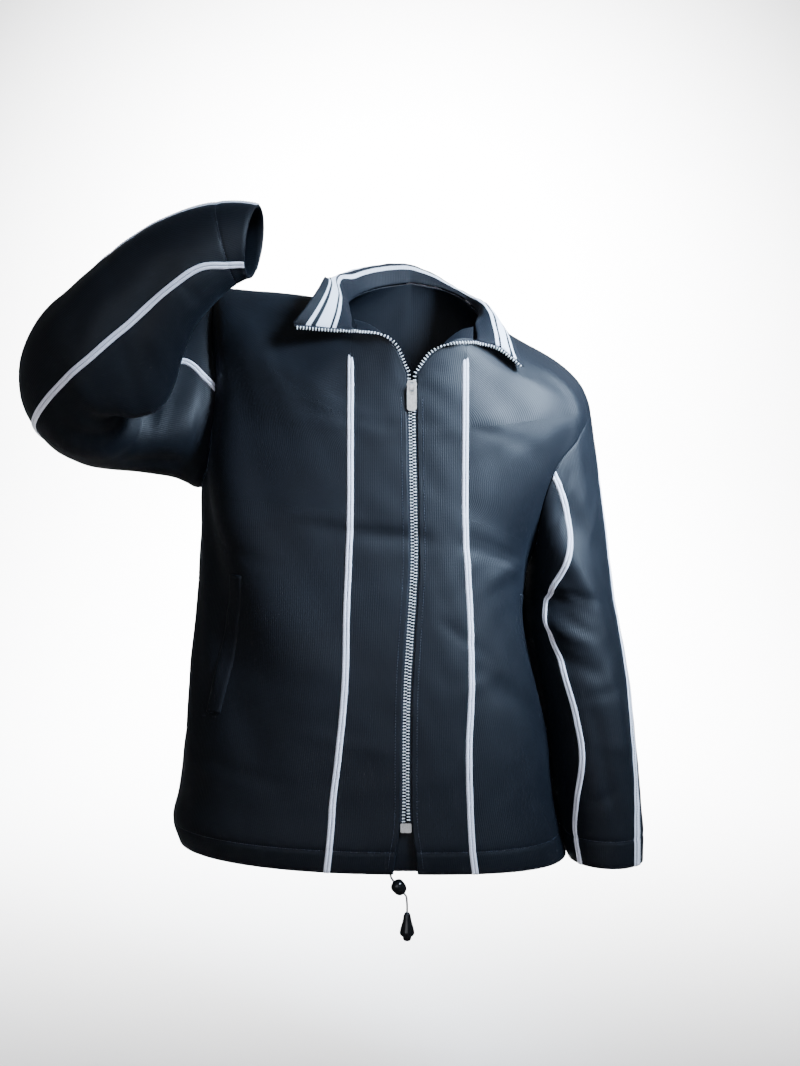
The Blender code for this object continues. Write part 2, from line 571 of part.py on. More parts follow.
def left_arm_track():
    """Table of the raised sleeve's middle line and of two directions across it."""
    axis, pivot, out_upper, out_lower, bend, shoulder, cuff = arm_frames()
    start, end = pivot + BEND_RADIUS * out_upper, pivot + BEND_RADIUS * out_lower
    beside = np.cross(axis, out_upper)
    beside = beside if np.dot(beside, out_lower) > 0 else -beside
    t = np.linspace(0.0, 1.0, 60)[:, None]
    angle = bend * t
    turned = pivot + BEND_RADIUS * (out_upper * np.cos(angle) + beside * np.sin(angle))
    last = hermite(end, cuff, unit(turned[-1] - turned[-2]) * CUFF_LEAVE, np.array(CUFF_ARRIVE), t)
    arrive = unit(turned[1] - turned[0]) * np.linalg.norm(start - shoulder)
    first = hermite(shoulder, start, (start - shoulder) * 1.1, arrive, t)
    track = np.concatenate((first[:-1], turned[:-1], last))
    length = np.concatenate(((0.0,), np.cumsum(np.linalg.norm(np.diff(track, axis=0), axis=1))))
    tangents = unit(np.gradient(track, length, axis=0))
    across = [axis]
    for tangent in tangents[1:]:
        across.append(unit(across[-1] - across[-1].dot(tangent) * tangent))
    across = np.array(across)
    out = np.cross(across, tangents)
    out = out if out[0].dot(out_upper) > 0 else -out
    marks = length[[59, 118]] / length[-1]
    return length / length[-1], track, out, across, marks


ARM_TRACK = []


def left_arm_path(along):
    """Middle, outer direction and half sizes of the raised sleeve's rings."""
    if not ARM_TRACK:
        ARM_TRACK.extend(left_arm_track())
    place, track, out, across, marks = ARM_TRACK
    along = np.asarray(along, float)
    middle, outward, axis = (np.stack([np.interp(along, place, values[:, i]) for i in range(3)], axis=-1)
                             for values in (track, out, across))
    halves = table_curve(((0.0, *UPPER_HALF), (marks[0], *ELBOW_HALF),
                          (0.5 * (marks[0] + marks[1]), *ELBOW_HALF), (marks[1] + 0.06, *FOREARM_HALF),
                          (0.5 * (marks[1] + 1.06), *FOREARM_MIDDLE_HALF), (1.0, *CUFF_HALF)), along)
    return middle, unit(outward), unit(axis), halves


def left_arm_base(turn, along):
    """Point of the raised sleeve before its folds."""
    turn, along = np.broadcast_arrays(np.asarray(turn, float), np.asarray(along, float))
    middle, out, axis, halves = left_arm_path(along)
    angle = np.radians(LEFT_TOP_TURN - turn)[..., None]
    ring = middle + out * halves[..., :1] * np.cos(angle) + axis * halves[..., 1:] * np.sin(angle)
    blend = ease(along / LEFT_CAP_SHARE)[..., None]
    start = left_arm_path(np.zeros(()))[0]
    carried = armhole(turn, -1) + (middle - start) * CAP_CARRY
    spread = np.where(along < DRAPE[1], DRAPE[3], DRAPE[4])
    drape = np.exp(-(wrapped(turn - DRAPE[0]) / DRAPE[2]) ** 2 - ((along - DRAPE[1]) / spread) ** 2)
    return carried * (1.0 - blend) + ring * blend + drape[..., None] * np.array(DRAPE_DROP)


def right_arm(turn, along):
    """Point of the hanging sleeve with its folds."""
    normal = surface_normal(right_arm_base, turn, along, 1.0)
    quiet = ease(np.asarray(along, float) / 0.12)
    height = fold_relief(turn, along, RIGHT_FOLDS, ARM_TURN_SCALE, ARM_LEVEL_SCALE) * quiet
    return right_arm_base(turn, along) + normal * height[..., None]


def left_arm(turn, along):
    """Point of the raised sleeve with its folds."""
    normal = surface_normal(left_arm_base, turn, along, -1.0)
    quiet = ease(np.asarray(along, float) / 0.12)
    crook = np.exp(-(wrapped(turn - CROOK[0]) / 48.0) ** 2 - ((along - CROOK[1]) / 0.20) ** 2)
    quiet = quiet * (1.0 - 0.85 * crook)
    height = fold_relief(turn, along, LEFT_FOLDS, ARM_TURN_SCALE, ARM_LEVEL_SCALE) * quiet
    return left_arm_base(turn, along) + normal * height[..., None]


def right_arm_normal(turn, along):
    """Outward normal of the hanging sleeve."""
    return surface_normal(right_arm, turn, along, 1.0)


def left_arm_normal(turn, along):
    """Outward normal of the raised sleeve."""
    return surface_normal(left_arm, turn, along, -1.0)


# ================================================================ collar and zip lines
def collar(turn, share):
    """Point of the collar's middle sheet, from the neckline seam over the fold to the free edge."""
    turn, share = np.broadcast_arrays(np.asarray(turn, float), np.asarray(share, float))
    top = np.ones(turn.shape)
    rise = unit(body_base(turn, top) - body_base(turn, top * 0.95))
    facing = unit(np.cross(body_base(turn + 1.0, top) - body_base(turn - 1.0, top), rise))
    seam = table_curve(NECK, wrapped(turn)) + rise * COLLAR_SEAT[0] + facing * COLLAR_SEAT[1]
    fold, edge = table_curve(COLLAR_FOLD, turn), table_curve(COLLAR_EDGE, turn)
    over = unit(edge - seam) * FOLD_ROUND
    low = np.clip(share / FOLD_SHARE, 0.0, 1.0)[..., None]
    high = np.clip((share - FOLD_SHARE) / (1.0 - FOLD_SHARE), 0.0, 1.0)[..., None]
    stand = hermite(seam, fold, (fold - seam) * 1.1, over, low)
    fall = hermite(fold, edge, over, (edge - fold) * 1.1, high)
    return np.where(share[..., None] < FOLD_SHARE, stand, fall)


def hermite(start, end, leave, arrive, t):
    """Smooth path between two points with given directions at its ends."""
    return ((1 + 2 * t) * (1 - t) ** 2 * start + t * (1 - t) ** 2 * leave
            + t * t * (3 - 2 * t) * end - t * t * (1 - t) * arrive)


def collar_normal(turn, share):
    """Normal of the collar's face that lies against the neck."""
    return surface_normal(collar, turn, share, -1.0)


def between_rows(levels, values, wanted):
    """Read rows of points at wanted levels, straight between the rows that a panel has."""
    return np.stack([np.interp(wanted, levels, values[:, axis]) for axis in range(3)], axis=-1)


def along_row(turns, values, wanted):
    """Read points at wanted turns, straight between the columns that a panel has."""
    order = np.argsort(turns)
    return np.stack([np.interp(wanted, turns[order], values[order, axis]) for axis in range(3)], axis=-1)


def zip_line(side, levels, grid, top):
    """Edge of one front from the zip's foot to the collar's end: points, looks and teeth sides."""
    points, _ = grid
    edge, beside = (-1, -2) if side < 0 else (0, 1)
    closed = np.array(ZIP_LEVELS)
    line = [between_rows(levels, points[:, edge], closed)]
    across = unit(line[0] - between_rows(levels, points[:, beside], closed))
    level_way = ease((closed - 0.84) / 0.05)[:, None]
    toward = [across * (1.0 - level_way) + np.array((-side, 0.0, 0.0)) * level_way]
    open_turns = side * np.array(ZIP_OPEN_TURNS)
    line.append(along_row(top[0], top[1], open_turns))
    tangent = unit(np.gradient(line[1], axis=0))
    face = along_row(top[0], top[2], open_turns)
    upward = unit(-side * np.cross(tangent, face))
    outward = unit(side * np.cross(tangent, upward))
    shares = np.array(ZIP_COLLAR_SHARES)
    soft = len(open_turns) + len(shares) - 2
    end, inside = (COLLAR_START, COLLAR_START + 3.0) if side > 0 else (COLLAR_END, COLLAR_END - 3.0)
    line.append(collar(np.full(shares.shape, end), shares))
    away = unit(line[2] - collar(np.full(shares.shape, inside), shares))
    last = math.atan2(away[0].dot(outward[-1]), away[0].dot(upward[-1]))
    last = last + 2.0 * math.pi if last < 0 else last
    roll = last * ease((np.array(ZIP_OPEN_TURNS) - 6.0) / 38.0)[:, None]
    toward.append(upward * np.cos(roll) + outward * np.sin(roll))
    toward.append(away)
    line, toward = np.concatenate(line), np.concatenate(toward)
    for _ in range(2):
        for values in (line, toward):
            values[-soft - 1:-1] = 0.25 * values[-soft - 2:-2] + 0.5 * values[-soft - 1:-1] + 0.25 * values[-soft:]
    tangent = unit(np.gradient(line, axis=0))
    toward = unit(toward - np.sum(toward * tangent, axis=1, keepdims=True) * tangent)
    looks = unit(-side * np.cross(toward, tangent))
    return line, looks, toward


# ================================================================ building solids
MODEL = None


def make_material(name, colour, roughness, metallic=0.0):
    """Plain finish of one sub-part."""
    material = bpy.data.materials.new(name)
    material.use_nodes = True
    shader = material.node_tree.nodes["Principled BSDF"]
    shader.inputs["Base Color"].default_value = (*colour, 1.0)
    shader.inputs["Roughness"].default_value = roughness
    shader.inputs["Metallic"].default_value = metallic
    material.diffuse_color = (*colour, 1.0)
    return material


def add_object(name, points, faces, material):
    """Make one named object from points and faces."""
    mesh = bpy.data.meshes.new(name)
    mesh.from_pydata([tuple(map(float, point)) for point in points], [], faces)
    work = bmesh.new()
    work.from_mesh(mesh)
    bmesh.ops.recalc_face_normals(work, faces=work.faces)
    work.to_mesh(mesh)
    work.free()
    mesh.materials.append(material)
    mesh.shade_smooth()
    mesh.set_sharp_from_angle(angle=math.radians(50))
    thing = bpy.data.objects.new(name, mesh)
    MODEL.objects.link(thing)
    return thing


def loft_wall(name, outer, inner, material):
    """Close two matching grids of points, rows by columns, into one wall."""
    rows, columns = outer.shape[:2]
    count = rows * columns
    points = np.concatenate((outer.reshape(-1, 3), inner.reshape(-1, 3)))
    faces = []
    for i in range(rows - 1):
        for j in range(columns - 1):
            a, b = i * columns + j, i * columns + j + 1
            c, d = b + columns, a + columns
            faces.append((a, b, c, d))
            faces.append((count + a, count + d, count + c, count + b))
    rim = [j for j in range(columns)]
    rim += [i * columns + columns - 1 for i in range(1, rows)]
    rim += [(rows - 1) * columns + j for j in range(columns - 2, -1, -1)]
    rim += [i * columns for i in range(rows - 2, 0, -1)]
    for here, there in zip(rim, rim[1:] + rim[:1]):
        faces.append((there, here, count + here, count + there))
    return add_object(name, points, faces, material)


def loft_bar(name, sections, material, closed=False):
    """Join matching rings of points into one bar with two end faces, or into one closed frame."""
    rows, corners = sections.shape[:2]
    faces = []
    for i in range(rows if closed else rows - 1):
        first, second = i * corners, (i + 1) % rows * corners
        for j in range(corners):
            k = (j + 1) % corners
            faces.append((first + j, first + k, second + k, second + j))
    if not closed:
        faces.append(tuple(range(corners - 1, -1, -1)))
        faces.append(tuple((rows - 1) * corners + j for j in range(corners)))
    return add_object(name, sections.reshape(-1, 3), faces, material)


def strip_sections(left, right, normals, lift, rise):
    """Four-cornered sections of a strip that lies on cloth between two lines of points."""
    low_left, low_right = left + normals * lift, right + normals * lift
    top_left, top_right = left + normals * (lift + rise), right + normals * (lift + rise)
    inward = (right - left) * 0.08
    return np.stack((low_left, low_right, top_right - inward, top_left + inward), axis=1)


def clear_seams(points, start=True, end=True, top=False, bottom=False, gap=SEAM_GAP):
    """Draw the edges of a grid of points back by half a seam gap."""
    moved = points.copy()
    half = 0.5 * gap
    if start:
        moved[:, 0] += unit(points[:, 1] - points[:, 0]) * half
    if end:
        moved[:, -1] += unit(points[:, -2] - points[:, -1]) * half
    if top:
        moved[-1] += unit(points[-2] - points[-1]) * SEAM_GAP
    if bottom:
        moved[0] += unit(points[1] - points[0]) * half
    return moved


def body_grid(levels, start, end, shares):
    """Grid of points and normals of a body panel; shares gives its columns at each level."""
    columns = np.stack([shares(level) for level in levels])
    turn = start[:, None] + (end - start)[:, None] * columns
    level = np.repeat(levels[:, None], columns.shape[1], axis=1)
    points, normals = body(turn, level), body_normal(turn, level)
    across = body(turn[-1] + 1.0, level[-1]) - body(turn[-1] - 1.0, level[-1])
    normals[-1] = unit(np.cross(across, points[-1] - points[-2]))
    return points, normals


def even_shares(count):
    """Columns that divide a panel evenly."""
    return lambda level: np.linspace(0.0, 1.0, count + 1)


def pocket_shares(before, top_share, bottom_share, after):
    """Columns of an outer front; two of them are the long edges of the slanted pocket."""
    def shares(level):
        slope = np.clip((POCKET_TOP_LEVEL - level) / (POCKET_TOP_LEVEL - POCKET_BOTTOM_LEVEL), 0.0, 1.0)
        first = top_share + (bottom_share - top_share) * slope
        left = np.array(before) * first
        right = first + POCKET_SHARE + (1.0 - first - POCKET_SHARE) * np.array(after)
        return np.concatenate((left, (first, first + POCKET_SHARE), right))
    return shares


def build_panel(name, levels, start, end, shares, material, armholes=()):
    """Build one body panel as a wall that is doubled at the hem, and give its outer grid.

    The armholes are (column, side, front or back) of the edges that a sleeve is sewn to.
    """
    points, normals = body_grid(levels, start, end, shares)
    share = (levels - ARMHOLE_MIDDLE) / ARMHOLE_REACH
    rows = np.abs(share) <= 1.0 + 1e-6
    for column, side, facing in armholes:
        turn = facing * np.degrees(np.arccos(np.clip(share[rows], -1.0, 1.0)))
        normals[rows, column] = armhole_mitre(turn, side)
    outer = clear_seams(points, top=True)
    thick = np.where(levels <= HEM_LEVEL + 1e-6, HEM_WALL, CLOTH)[:, None, None]
    loft_wall(name, outer, outer - normals * thick, material)
    return points, normals


# ================================================================ cut pieces of the jacket
def build_body(cloth):
    """Build both fronts in two pieces each and the back; give the grids that trims are made from."""
    armhole_levels = ARMHOLE_MIDDLE + ARMHOLE_REACH * np.cos(np.radians(ARMHOLE_TURNS))
    levels = np.concatenate((LOWER_LEVELS, armhole_levels, UPPER_LEVELS))
    left_seam, right_seam = seam_turn(levels, 0), seam_turn(levels, 2)
    left_edge, right_edge = front_edge(levels, -1), front_edge(levels, 1)
    left_pocket = pocket_shares((0.0, 0.34, 0.68), *LEFT_POCKET, (0.34, 0.67, 1.0))
    right_pocket = pocket_shares((0.0, 0.28, 0.54, 0.78), *RIGHT_POCKET, (0.5, 1.0))
    grids = {
        "front_left_inner": build_panel("front_left_inner", levels, left_seam, left_edge,
                                        even_shares(INNER_COLUMNS), cloth),
        "front_left_outer": build_panel("front_left_outer", levels, left_seam, left_side(levels, 0),
                                        left_pocket, cloth, ((-1, -1, 1.0),)),
        "front_right_inner": build_panel("front_right_inner", levels, right_edge, right_seam,
                                         even_shares(INNER_COLUMNS), cloth),
        "front_right_outer": build_panel("front_right_outer", levels, right_seam, right_side(levels, 0),
                                         right_pocket, cloth, ((-1, 1, 1.0),)),
        "back": build_panel("back", levels, right_side(levels, 1), left_side(levels, 1) + 360.0,
                            even_shares(BACK_COLUMNS), cloth, ((0, 1, -1.0), (-1, -1, -1.0))),
    }
    steps = np.linspace(0.0, 1.0, INNER_COLUMNS + 1)
    tops = {}
    for side, name, start, end, outer_end in (
            (-1, "left", left_seam[-1], left_edge[-1], left_side(levels[-1], 0)),
            (1, "right", right_seam[-1], right_edge[-1], right_side(levels[-1:], 0)[0])):
        inner, outer = grids[f"front_{name}_inner"], grids[f"front_{name}_outer"]
        outer_steps = (left_pocket if side < 0 else right_pocket)(1.0)
        turns = np.concatenate((start + (end - start) * steps, start + (outer_end - start) * outer_steps[1:]))
        inner_rows = [values[-1] if side < 0 else values[-1, ::-1] for values in inner]
        tops[side] = (turns, *(np.concatenate((inner_rows[i], outer[i][-1, 1:])) for i in range(2)))
    return levels, grids, tops


def sleeve_turns(trims, along):
    """Turns of the columns round a sleeve: its upper piece, then its under piece."""
    tape, front, behind = np.moveaxis(table_curve(trims, along), -1, 0)
    half = TAPE_HALF_TURN[0] + (TAPE_HALF_TURN[1] - TAPE_HALF_TURN[0]) * along
    steps = np.linspace(0.0, 1.0, SLEEVE_SIDE_COLUMNS + 1)
    rear = behind[:, None] + (tape - half - behind)[:, None] * steps
    fore = (tape + half)[:, None] + (front - tape - half)[:, None] * steps
    under_steps = np.concatenate(((0.0,), (np.array(UNDER_TURNS) - 90.0) / 180.0, (1.0,)))
    under = front[:, None] + (behind + 360.0 - front)[:, None] * under_steps
    return np.concatenate((rear, fore), axis=1), under


def build_sleeve(side, cloth):
    """Build one sleeve as an upper and an under piece; give the grids that trims are made from."""
    name = "sleeve_left" if side < 0 else "sleeve_right"
    surface, normal = (left_arm, left_arm_normal) if side < 0 else (right_arm, right_arm_normal)
    along = np.array(LEFT_STEPS if side < 0 else RIGHT_STEPS)
    upper_turns, under_turns = sleeve_turns(LEFT_TRIMS if side < 0 else RIGHT_TRIMS, along)
    grids = []
    for piece, turns in (("upper", upper_turns), ("under", under_turns)):
        rows = np.repeat(along[:, None], turns.shape[1], axis=1)
        points, normals = surface(turns, rows), normal(turns, rows)
        normals[0] = armhole_mitre(turns[0], side)
        outer = clear_seams(points, bottom=True, gap=SLEEVE_SEAM_GAP)
        thick = np.where(along >= CUFF_SHARE - 1e-6, HEM_WALL, CLOTH)[:, None, None]
        loft_wall(f"{name}_{piece}", outer, outer - normals * thick, cloth)
        grids.append((points, normals))
    return along, grids


def build_collar(cloth):
    """Build the folded collar as one wall round the neck."""
    turns = np.linspace(COLLAR_START, COLLAR_END, COLLAR_COLUMNS + 1)
    shares = np.array(COLLAR_SHARES)
    turn, share = np.meshgrid(turns, shares)
    points, normals = collar(turn, share), collar_normal(turn, share)
    half = 0.5 * COLLAR_WALL
    loft_wall("collar", points + normals * half, points - normals * half, cloth)


def build_facing(side, cloth):
    """Build the turned-in strip that shows above an unzipped edge, next to the collar."""
    name = "facing_left" if side < 0 else "facing_right"
    turns = side * np.linspace(FACING_START, SEAM_TURN - 2.5, 7)
    corner = table_curve(NECK, side * FACING_TOP_TURN) - table_curve(NECK, side * SEAM_TURN)
    behind = body_normal(turns, np.ones(7)) * FACING_BEHIND
    foot = table_curve(NECK, turns) - behind + unit(corner) * 0.0002
    share = np.linspace(0.0, 1.0, 7)[:, None]
    height = FACING_MIN + (np.linalg.norm(corner) * 0.94 - FACING_MIN) * share
    points = np.stack([foot + unit(corner) * height * part for part in (0.0, 0.5, 1.0)])
    across = unit(points[0, -1] - points[0, 0])
    normal = unit(np.cross(across, unit(corner)))
    loft_wall(name, points, points - normal * FACING_THICK * np.sign(-normal[1]), cloth)


# ================================================================ trims
def build_seam_piping(name, left_grid, right_grid, material, lift=TRIM_LIFT, first=0.0, rows=None):
    """Lay piping over a seam; the grids are given with their seam column first.

    The first share tells where the piping begins between the first two rows.
    """
    seam, left, right = (values.copy() for values in (left_grid[0][:, 0], left_grid[0][:, 1], right_grid[0][:, 1]))
    for values in (seam, left, right):
        values[0] = values[0] + (values[1] - values[0]) * first
    half = 0.5 * PIPING_WIDTH
    edge_left = seam + unit(left - seam) * half
    edge_right = seam + unit(right - seam) * half
    normals = unit(left_grid[1][:, 0] + right_grid[1][:, 0])
    inward = (edge_right - edge_left) * 0.08
    if first > 0.0:
        normals[0] = normals[1]
    low, high = normals * lift, normals * (lift + PIPING_RISE)
    sections = np.stack((edge_left + low, seam + low, edge_right + low,
                         edge_right + high - inward, seam + high, edge_left + high + inward), axis=1)
    loft_bar(name, sections[:rows], material)


def flipped(grid):
    """Turn a grid's columns round, so that its last column comes first."""
    return grid[0][:, ::-1], grid[1][:, ::-1]


def build_body_trims(levels, grids, piping, cloth):
    """Build the piping of the princess seams and the welts of the two slanted pockets."""
    left_rows, right_rows = (int(np.sum(levels <= top + 1e-6)) for top in PIPING_TOP_LEVELS)
    build_seam_piping("piping_front_left", grids["front_left_outer"], grids["front_left_inner"], piping,
                      rows=left_rows)
    build_seam_piping("piping_front_right", flipped(grids["front_right_inner"]),
                      grids["front_right_outer"], piping, rows=right_rows)
    rows = (levels >= POCKET_BOTTOM_LEVEL - 1e-6) & (levels <= POCKET_TOP_LEVEL + 1e-6)
    for name, grid_name, column in (("pocket_welt_left", "front_left_outer", 3),
                                    ("pocket_welt_right", "front_right_outer", 4)):
        points, normals = grids[grid_name]
        left, right = points[rows][:, column], points[rows][:, column + 1]
        middle = unit(normals[rows][:, column] + normals[rows][:, column + 1])
        loft_bar(name, strip_sections(left, right, middle, TRIM_LIFT, POCKET_RISE), cloth)


def build_sleeve_trims(side, grids, piping, tape):
    """Build a sleeve's front and back piping and the double-striped tape down the outer arm."""
    name = "left" if side < 0 else "right"
    upper, under = grids
    build_seam_piping(f"piping_sleeve_{name}_front", flipped(upper), under, piping, SLEEVE_LIFT, 0.3)
    build_seam_piping(f"piping_sleeve_{name}_back", upper, flipped(under), piping, SLEEVE_LIFT, 0.3)
    column = SLEEVE_SIDE_COLUMNS
    points, normals = upper
    middle = unit(normals[:, column] + normals[:, column + 1])
    sections = strip_sections(points[:, column], points[:, column + 1], middle, TRIM_LIFT, TAPE_RISE)
    loft_bar(f"sleeve_tape_{name}", sections, tape)


# ================================================================ zip
def zip_rows(side, levels, grid, top):
    """Line of one side of the zip, with where its tape begins and how deep and far off it runs."""
    points, looks, toward = zip_line(side, levels, grid, top)
    closed, turns, shares = (np.array(rows) for rows in (ZIP_LEVELS, ZIP_OPEN_TURNS, ZIP_COLLAR_SHARES))
    after = len(turns) + len(shares)
    level = np.concatenate((closed, np.ones(after)))
    turn = np.concatenate((np.zeros(len(closed)), turns, np.full(len(shares), 90.0)))
    on_collar = turn > 89.0
    out = ease((level - PART_LEVELS[0]) / (PART_LEVELS[1] - PART_LEVELS[0]))
    start = -TAPE_UNDER + (TAPE_UNDER - 0.002) * ease((level - 0.84) / 0.05) + (0.002 + TAPE_CLEAR) * out
    depth = TAPE_DEPTH + (TAPE_DEPTH_OPEN - TAPE_DEPTH) * ease((turn - 3.0) / 9.0)
    depth = np.where(on_collar, -0.5 * TAPE_THICK, depth)
    shift = PART_SHIFT * out * (1.0 - ease((turn - 8.0) / 10.0))
    return points, looks, toward, start[:, None], depth[:, None], shift[:, None]


def build_zip_side(side, rows, tape_cloth, teeth):
    """Build the tape and the teeth of one side of the zip."""
    name = "left" if side < 0 else "right"
    points, looks, toward, start, depth, shift = rows
    near, far = points + toward * start, points + toward * (TAPE_SHOWS - shift)
    loft_bar(f"zip_tape_{name}", strip_sections(near, far, looks, -depth - TAPE_THICK, TAPE_THICK), tape_cloth)
    teeth_depth = depth + 0.5 * TAPE_THICK + 0.5 * TEETH_THICK
    near = points + toward * (TAPE_SHOWS - shift + 0.0001)
    far = near + toward * (TEETH_WIDTH - 0.00005)
    sections = strip_sections(near, far, looks, -teeth_depth, TEETH_THICK)
    loft_bar(f"zip_teeth_{name}", sections, teeth)


def build_zip_guard(cloth):
    """Build the strip of cloth behind the zip."""
    levels = np.array(GUARD_LEVELS)
    offsets = np.linspace(-0.5, 0.5, 5) * GUARD_WIDTH
    turn = np.stack([seam_turn(levels, 1, offset) for offset in offsets], axis=1)
    level = np.repeat(levels[:, None], len(offsets), axis=1)
    points, normals = body(turn, level), body_normal(turn, level)
    outer = points - normals * GUARD_DEPTH
    loft_wall("zip_guard", outer, outer - normals * GUARD_THICK, cloth)


def place_on_zip(level):
    """Middle of the zip at a level, on the outer face of the fronts, and the direction it faces."""
    middles = []
    for height in (level, level - 0.025, level + 0.025):
        levels = np.full(2, height)
        edges = np.stack([front_edge(levels, side)[0] for side in (-1, 1)])
        middles.append(body(edges, levels).mean(axis=0))
    facing = unit(np.cross((1.0, 0.0, 0.0), middles[2] - middles[1]))
    return middles[0], facing if facing[1] < 0 else -facing


def plate(centre, facing, outline, depth):
    """Ring of points of a flat outline at a depth in front of a centre."""
    across = np.array((1.0, 0.0, 0.0))
    upward = unit(np.cross(facing, across))
    upward = upward if upward[2] > 0 else -upward
    outline = np.array(outline)
    return centre + outline[:, :1] * across + outline[:, 1:] * upward + facing * depth


def build_zip_box(metal):
    """Build the box at the foot of the zip."""
    centre, facing = place_on_zip(BOX_LEVEL)
    half, high = 0.5 * BOX_WIDTH, 0.5 * BOX_HEIGHT
    outline = ((-half, -high + 0.001), (-half + 0.001, -high), (half - 0.001, -high), (half, -high + 0.001),
               (half, high - 0.001), (half - 0.001, high), (-half + 0.001, high), (-half, high - 0.001))
    front, rear = plate(centre, facing, outline, BOX_FRONT), plate(centre, facing, outline, BOX_REAR)
    loft_bar("zip_box", np.stack((front, rear)), metal)


def build_slider(metal, cutters):
    """Build the slider with its bridge; give the middle of the pull tab's crossbar."""
    centre, facing = place_on_zip(SLIDER_LEVEL)
    upward = np.cross((1.0, 0.0, 0.0), -facing)
    wide, long = 0.5 * SLIDER_WIDTH, 0.5 * SLIDER_LENGTH
    outline = ((0.72 * wide, long), (wide, 0.45 * long), (0.80 * wide, -0.5 * long), (0.5 * wide, -long),
               (-0.5 * wide, -long), (-0.80 * wide, -0.5 * long), (-wide, 0.45 * long), (-0.72 * wide, long))
    post = ((0.5 * POST_WIDTH, 0.86 * long), (0.5 * POST_WIDTH, 0.72 * long), (0.5 * POST_WIDTH, 0.58 * long),
            (0.25 * POST_WIDTH, 0.5 * long), (-0.25 * POST_WIDTH, 0.5 * long), (-0.5 * POST_WIDTH, 0.58 * long),
            (-0.5 * POST_WIDTH, 0.72 * long), (-0.5 * POST_WIDTH, 0.86 * long))
    rings = [plate(centre, facing, shape, depth) for shape, depth in (
        (outline, SLIDER_FRONT), (outline, SLIDER_FRONT_REAR), (post, SLIDER_FRONT_REAR),
        (post, SLIDER_REAR_FRONT), (outline, SLIDER_REAR_FRONT), (outline, SLIDER_REAR))]
    slider = loft_bar("zip_slider", np.stack(rings), metal)
    half, foot = 0.5 * BRIDGE_WIDTH, 0.5 * BRIDGE_LENGTH
    outer = ((foot, -0.6), (foot, 0.55), (0.72 * foot, 0.92), (0.4 * foot, 1.0),
             (-0.4 * foot, 1.0), (-0.72 * foot, 0.92), (-foot, 0.55), (-foot, -0.6))
    sections = []
    for along, share in outer:
        height = BRIDGE_RISE * share if share > 0 else -0.0006
        inner_along = along - math.copysign(BRIDGE_BAR, along) if abs(along) > 0.6 * foot else along * 0.9
        inner_height = height if abs(along) > 0.9 * foot else height - BRIDGE_BAR
        inner_height = min(inner_height, BRIDGE_RISE - BRIDGE_BAR)
        low, high = SLIDER_FRONT + inner_height, SLIDER_FRONT + height
        ring = [(-half, along, high), (half, along, high), (half, inner_along, low), (-half, inner_along, low)]
        sections.append([centre + np.array((x, 0.0, 0.0)) + upward * z + facing * d for x, z, d in ring])
    bridge = loft_bar("zip_bridge_cutter", np.array(sections), metal)
    MODEL.objects.unlink(bridge)
    cutters.objects.link(bridge)
    bridge.display_type = "WIRE"
    bridge.hide_render = True
    union = slider.modifiers.new("bridge", "BOOLEAN")
    union.operation = "UNION"
    union.solver = "EXACT"
    union.object = bridge
    return centre + facing * PIVOT_DEPTH


def build_pull_tab(pivot, metal):
    """Build the pull tab with its slot round the bridge; its origin lies on the crossbar's axis."""
    half, top, low = 0.5 * TAB_WIDTH, 0.5 * TAB_THICK, 0.5 * TAB_THICK - TAB_LENGTH
    outer = ((-half + 0.0015, top), (half - 0.0015, top), (half, top - 0.002), (half, low * 0.5),
             (half, low + 0.0025), (half - 0.002, low + 0.0004), (0.0, low), (-half + 0.002, low + 0.0004),
             (-half, low + 0.0025), (-half, low * 0.5), (-half, top - 0.002))
    slot, upper, lower = 0.5 * SLOT_WIDTH, -0.5 * TAB_THICK, -0.5 * TAB_THICK - SLOT_LENGTH
    inner = ((-slot + 0.0006, upper), (slot - 0.0006, upper), (slot, upper - 0.0006), (slot, 0.5 * (upper + lower)),
             (slot, lower + 0.0008), (slot - 0.0008, lower), (0.0, lower - 0.0003), (-slot + 0.0008, lower),
             (-slot, lower + 0.0008), (-slot, 0.5 * (upper + lower)), (-slot, upper - 0.0006))
    facing, middle, thick = np.array((0.0, -1.0, 0.0)), np.zeros(3), 0.5 * TAB_THICK
    rings = [plate(middle, facing, shape, depth)
             for shape, depth in ((outer, thick), (outer, -thick), (inner, -thick), (inner, thick))]
    tab = loft_bar("zip_pull_tab", np.stack(rings), metal, closed=True)
    tab.location = pivot


# ================================================================ hem cord
def round_sections(path, radii, corners):
    """Round sections of the given radii along a path."""
    path, radii = np.array(path, float), np.broadcast_to(radii, len(path))
    tangents = unit(np.gradient(path, axis=0))
    side = unit(np.cross(tangents[0], (0.3, 1.0, 0.2)))
    angle = np.linspace(0.0, 2.0 * np.pi, corners, endpoint=False)[:, None]
    sections = []
    for point, tangent, radius in zip(path, tangents, radii):
        side = unit(side - side.dot(tangent) * tangent)
        other = np.cross(tangent, side)
        sections.append(point + radius * (np.cos(angle) * side + np.sin(angle) * other))
    return np.array(sections)


def lathe(name, foot, direction, profile, corners, material):
    """Turn a profile of distances and radii about an axis."""
    profile = np.array(profile)
    path = np.array(foot) + profile[:, :1] * unit(direction)
    sections = round_sections(path, profile[:, 1], corners)
    return loft_bar(name, sections, material)


def build_hem_cord(cord, plastic):
    """Build the cord that hangs from the hem, its lock and its bell-shaped end."""
    loft_bar("hem_cord_upper", round_sections(CORD_UPPER, CORD_RADIUS, 8), cord)
    loft_bar("hem_cord_lower", round_sections(CORD_LOWER, CORD_RADIUS, 8), cord)
    lathe("hem_cord_lock", LOCK_FOOT, LOCK_AXIS, LOCK_PROFILE, 14, plastic)
    lathe("hem_cord_bell", BELL_FOOT, BELL_AXIS, BELL_PROFILE, 14, plastic)


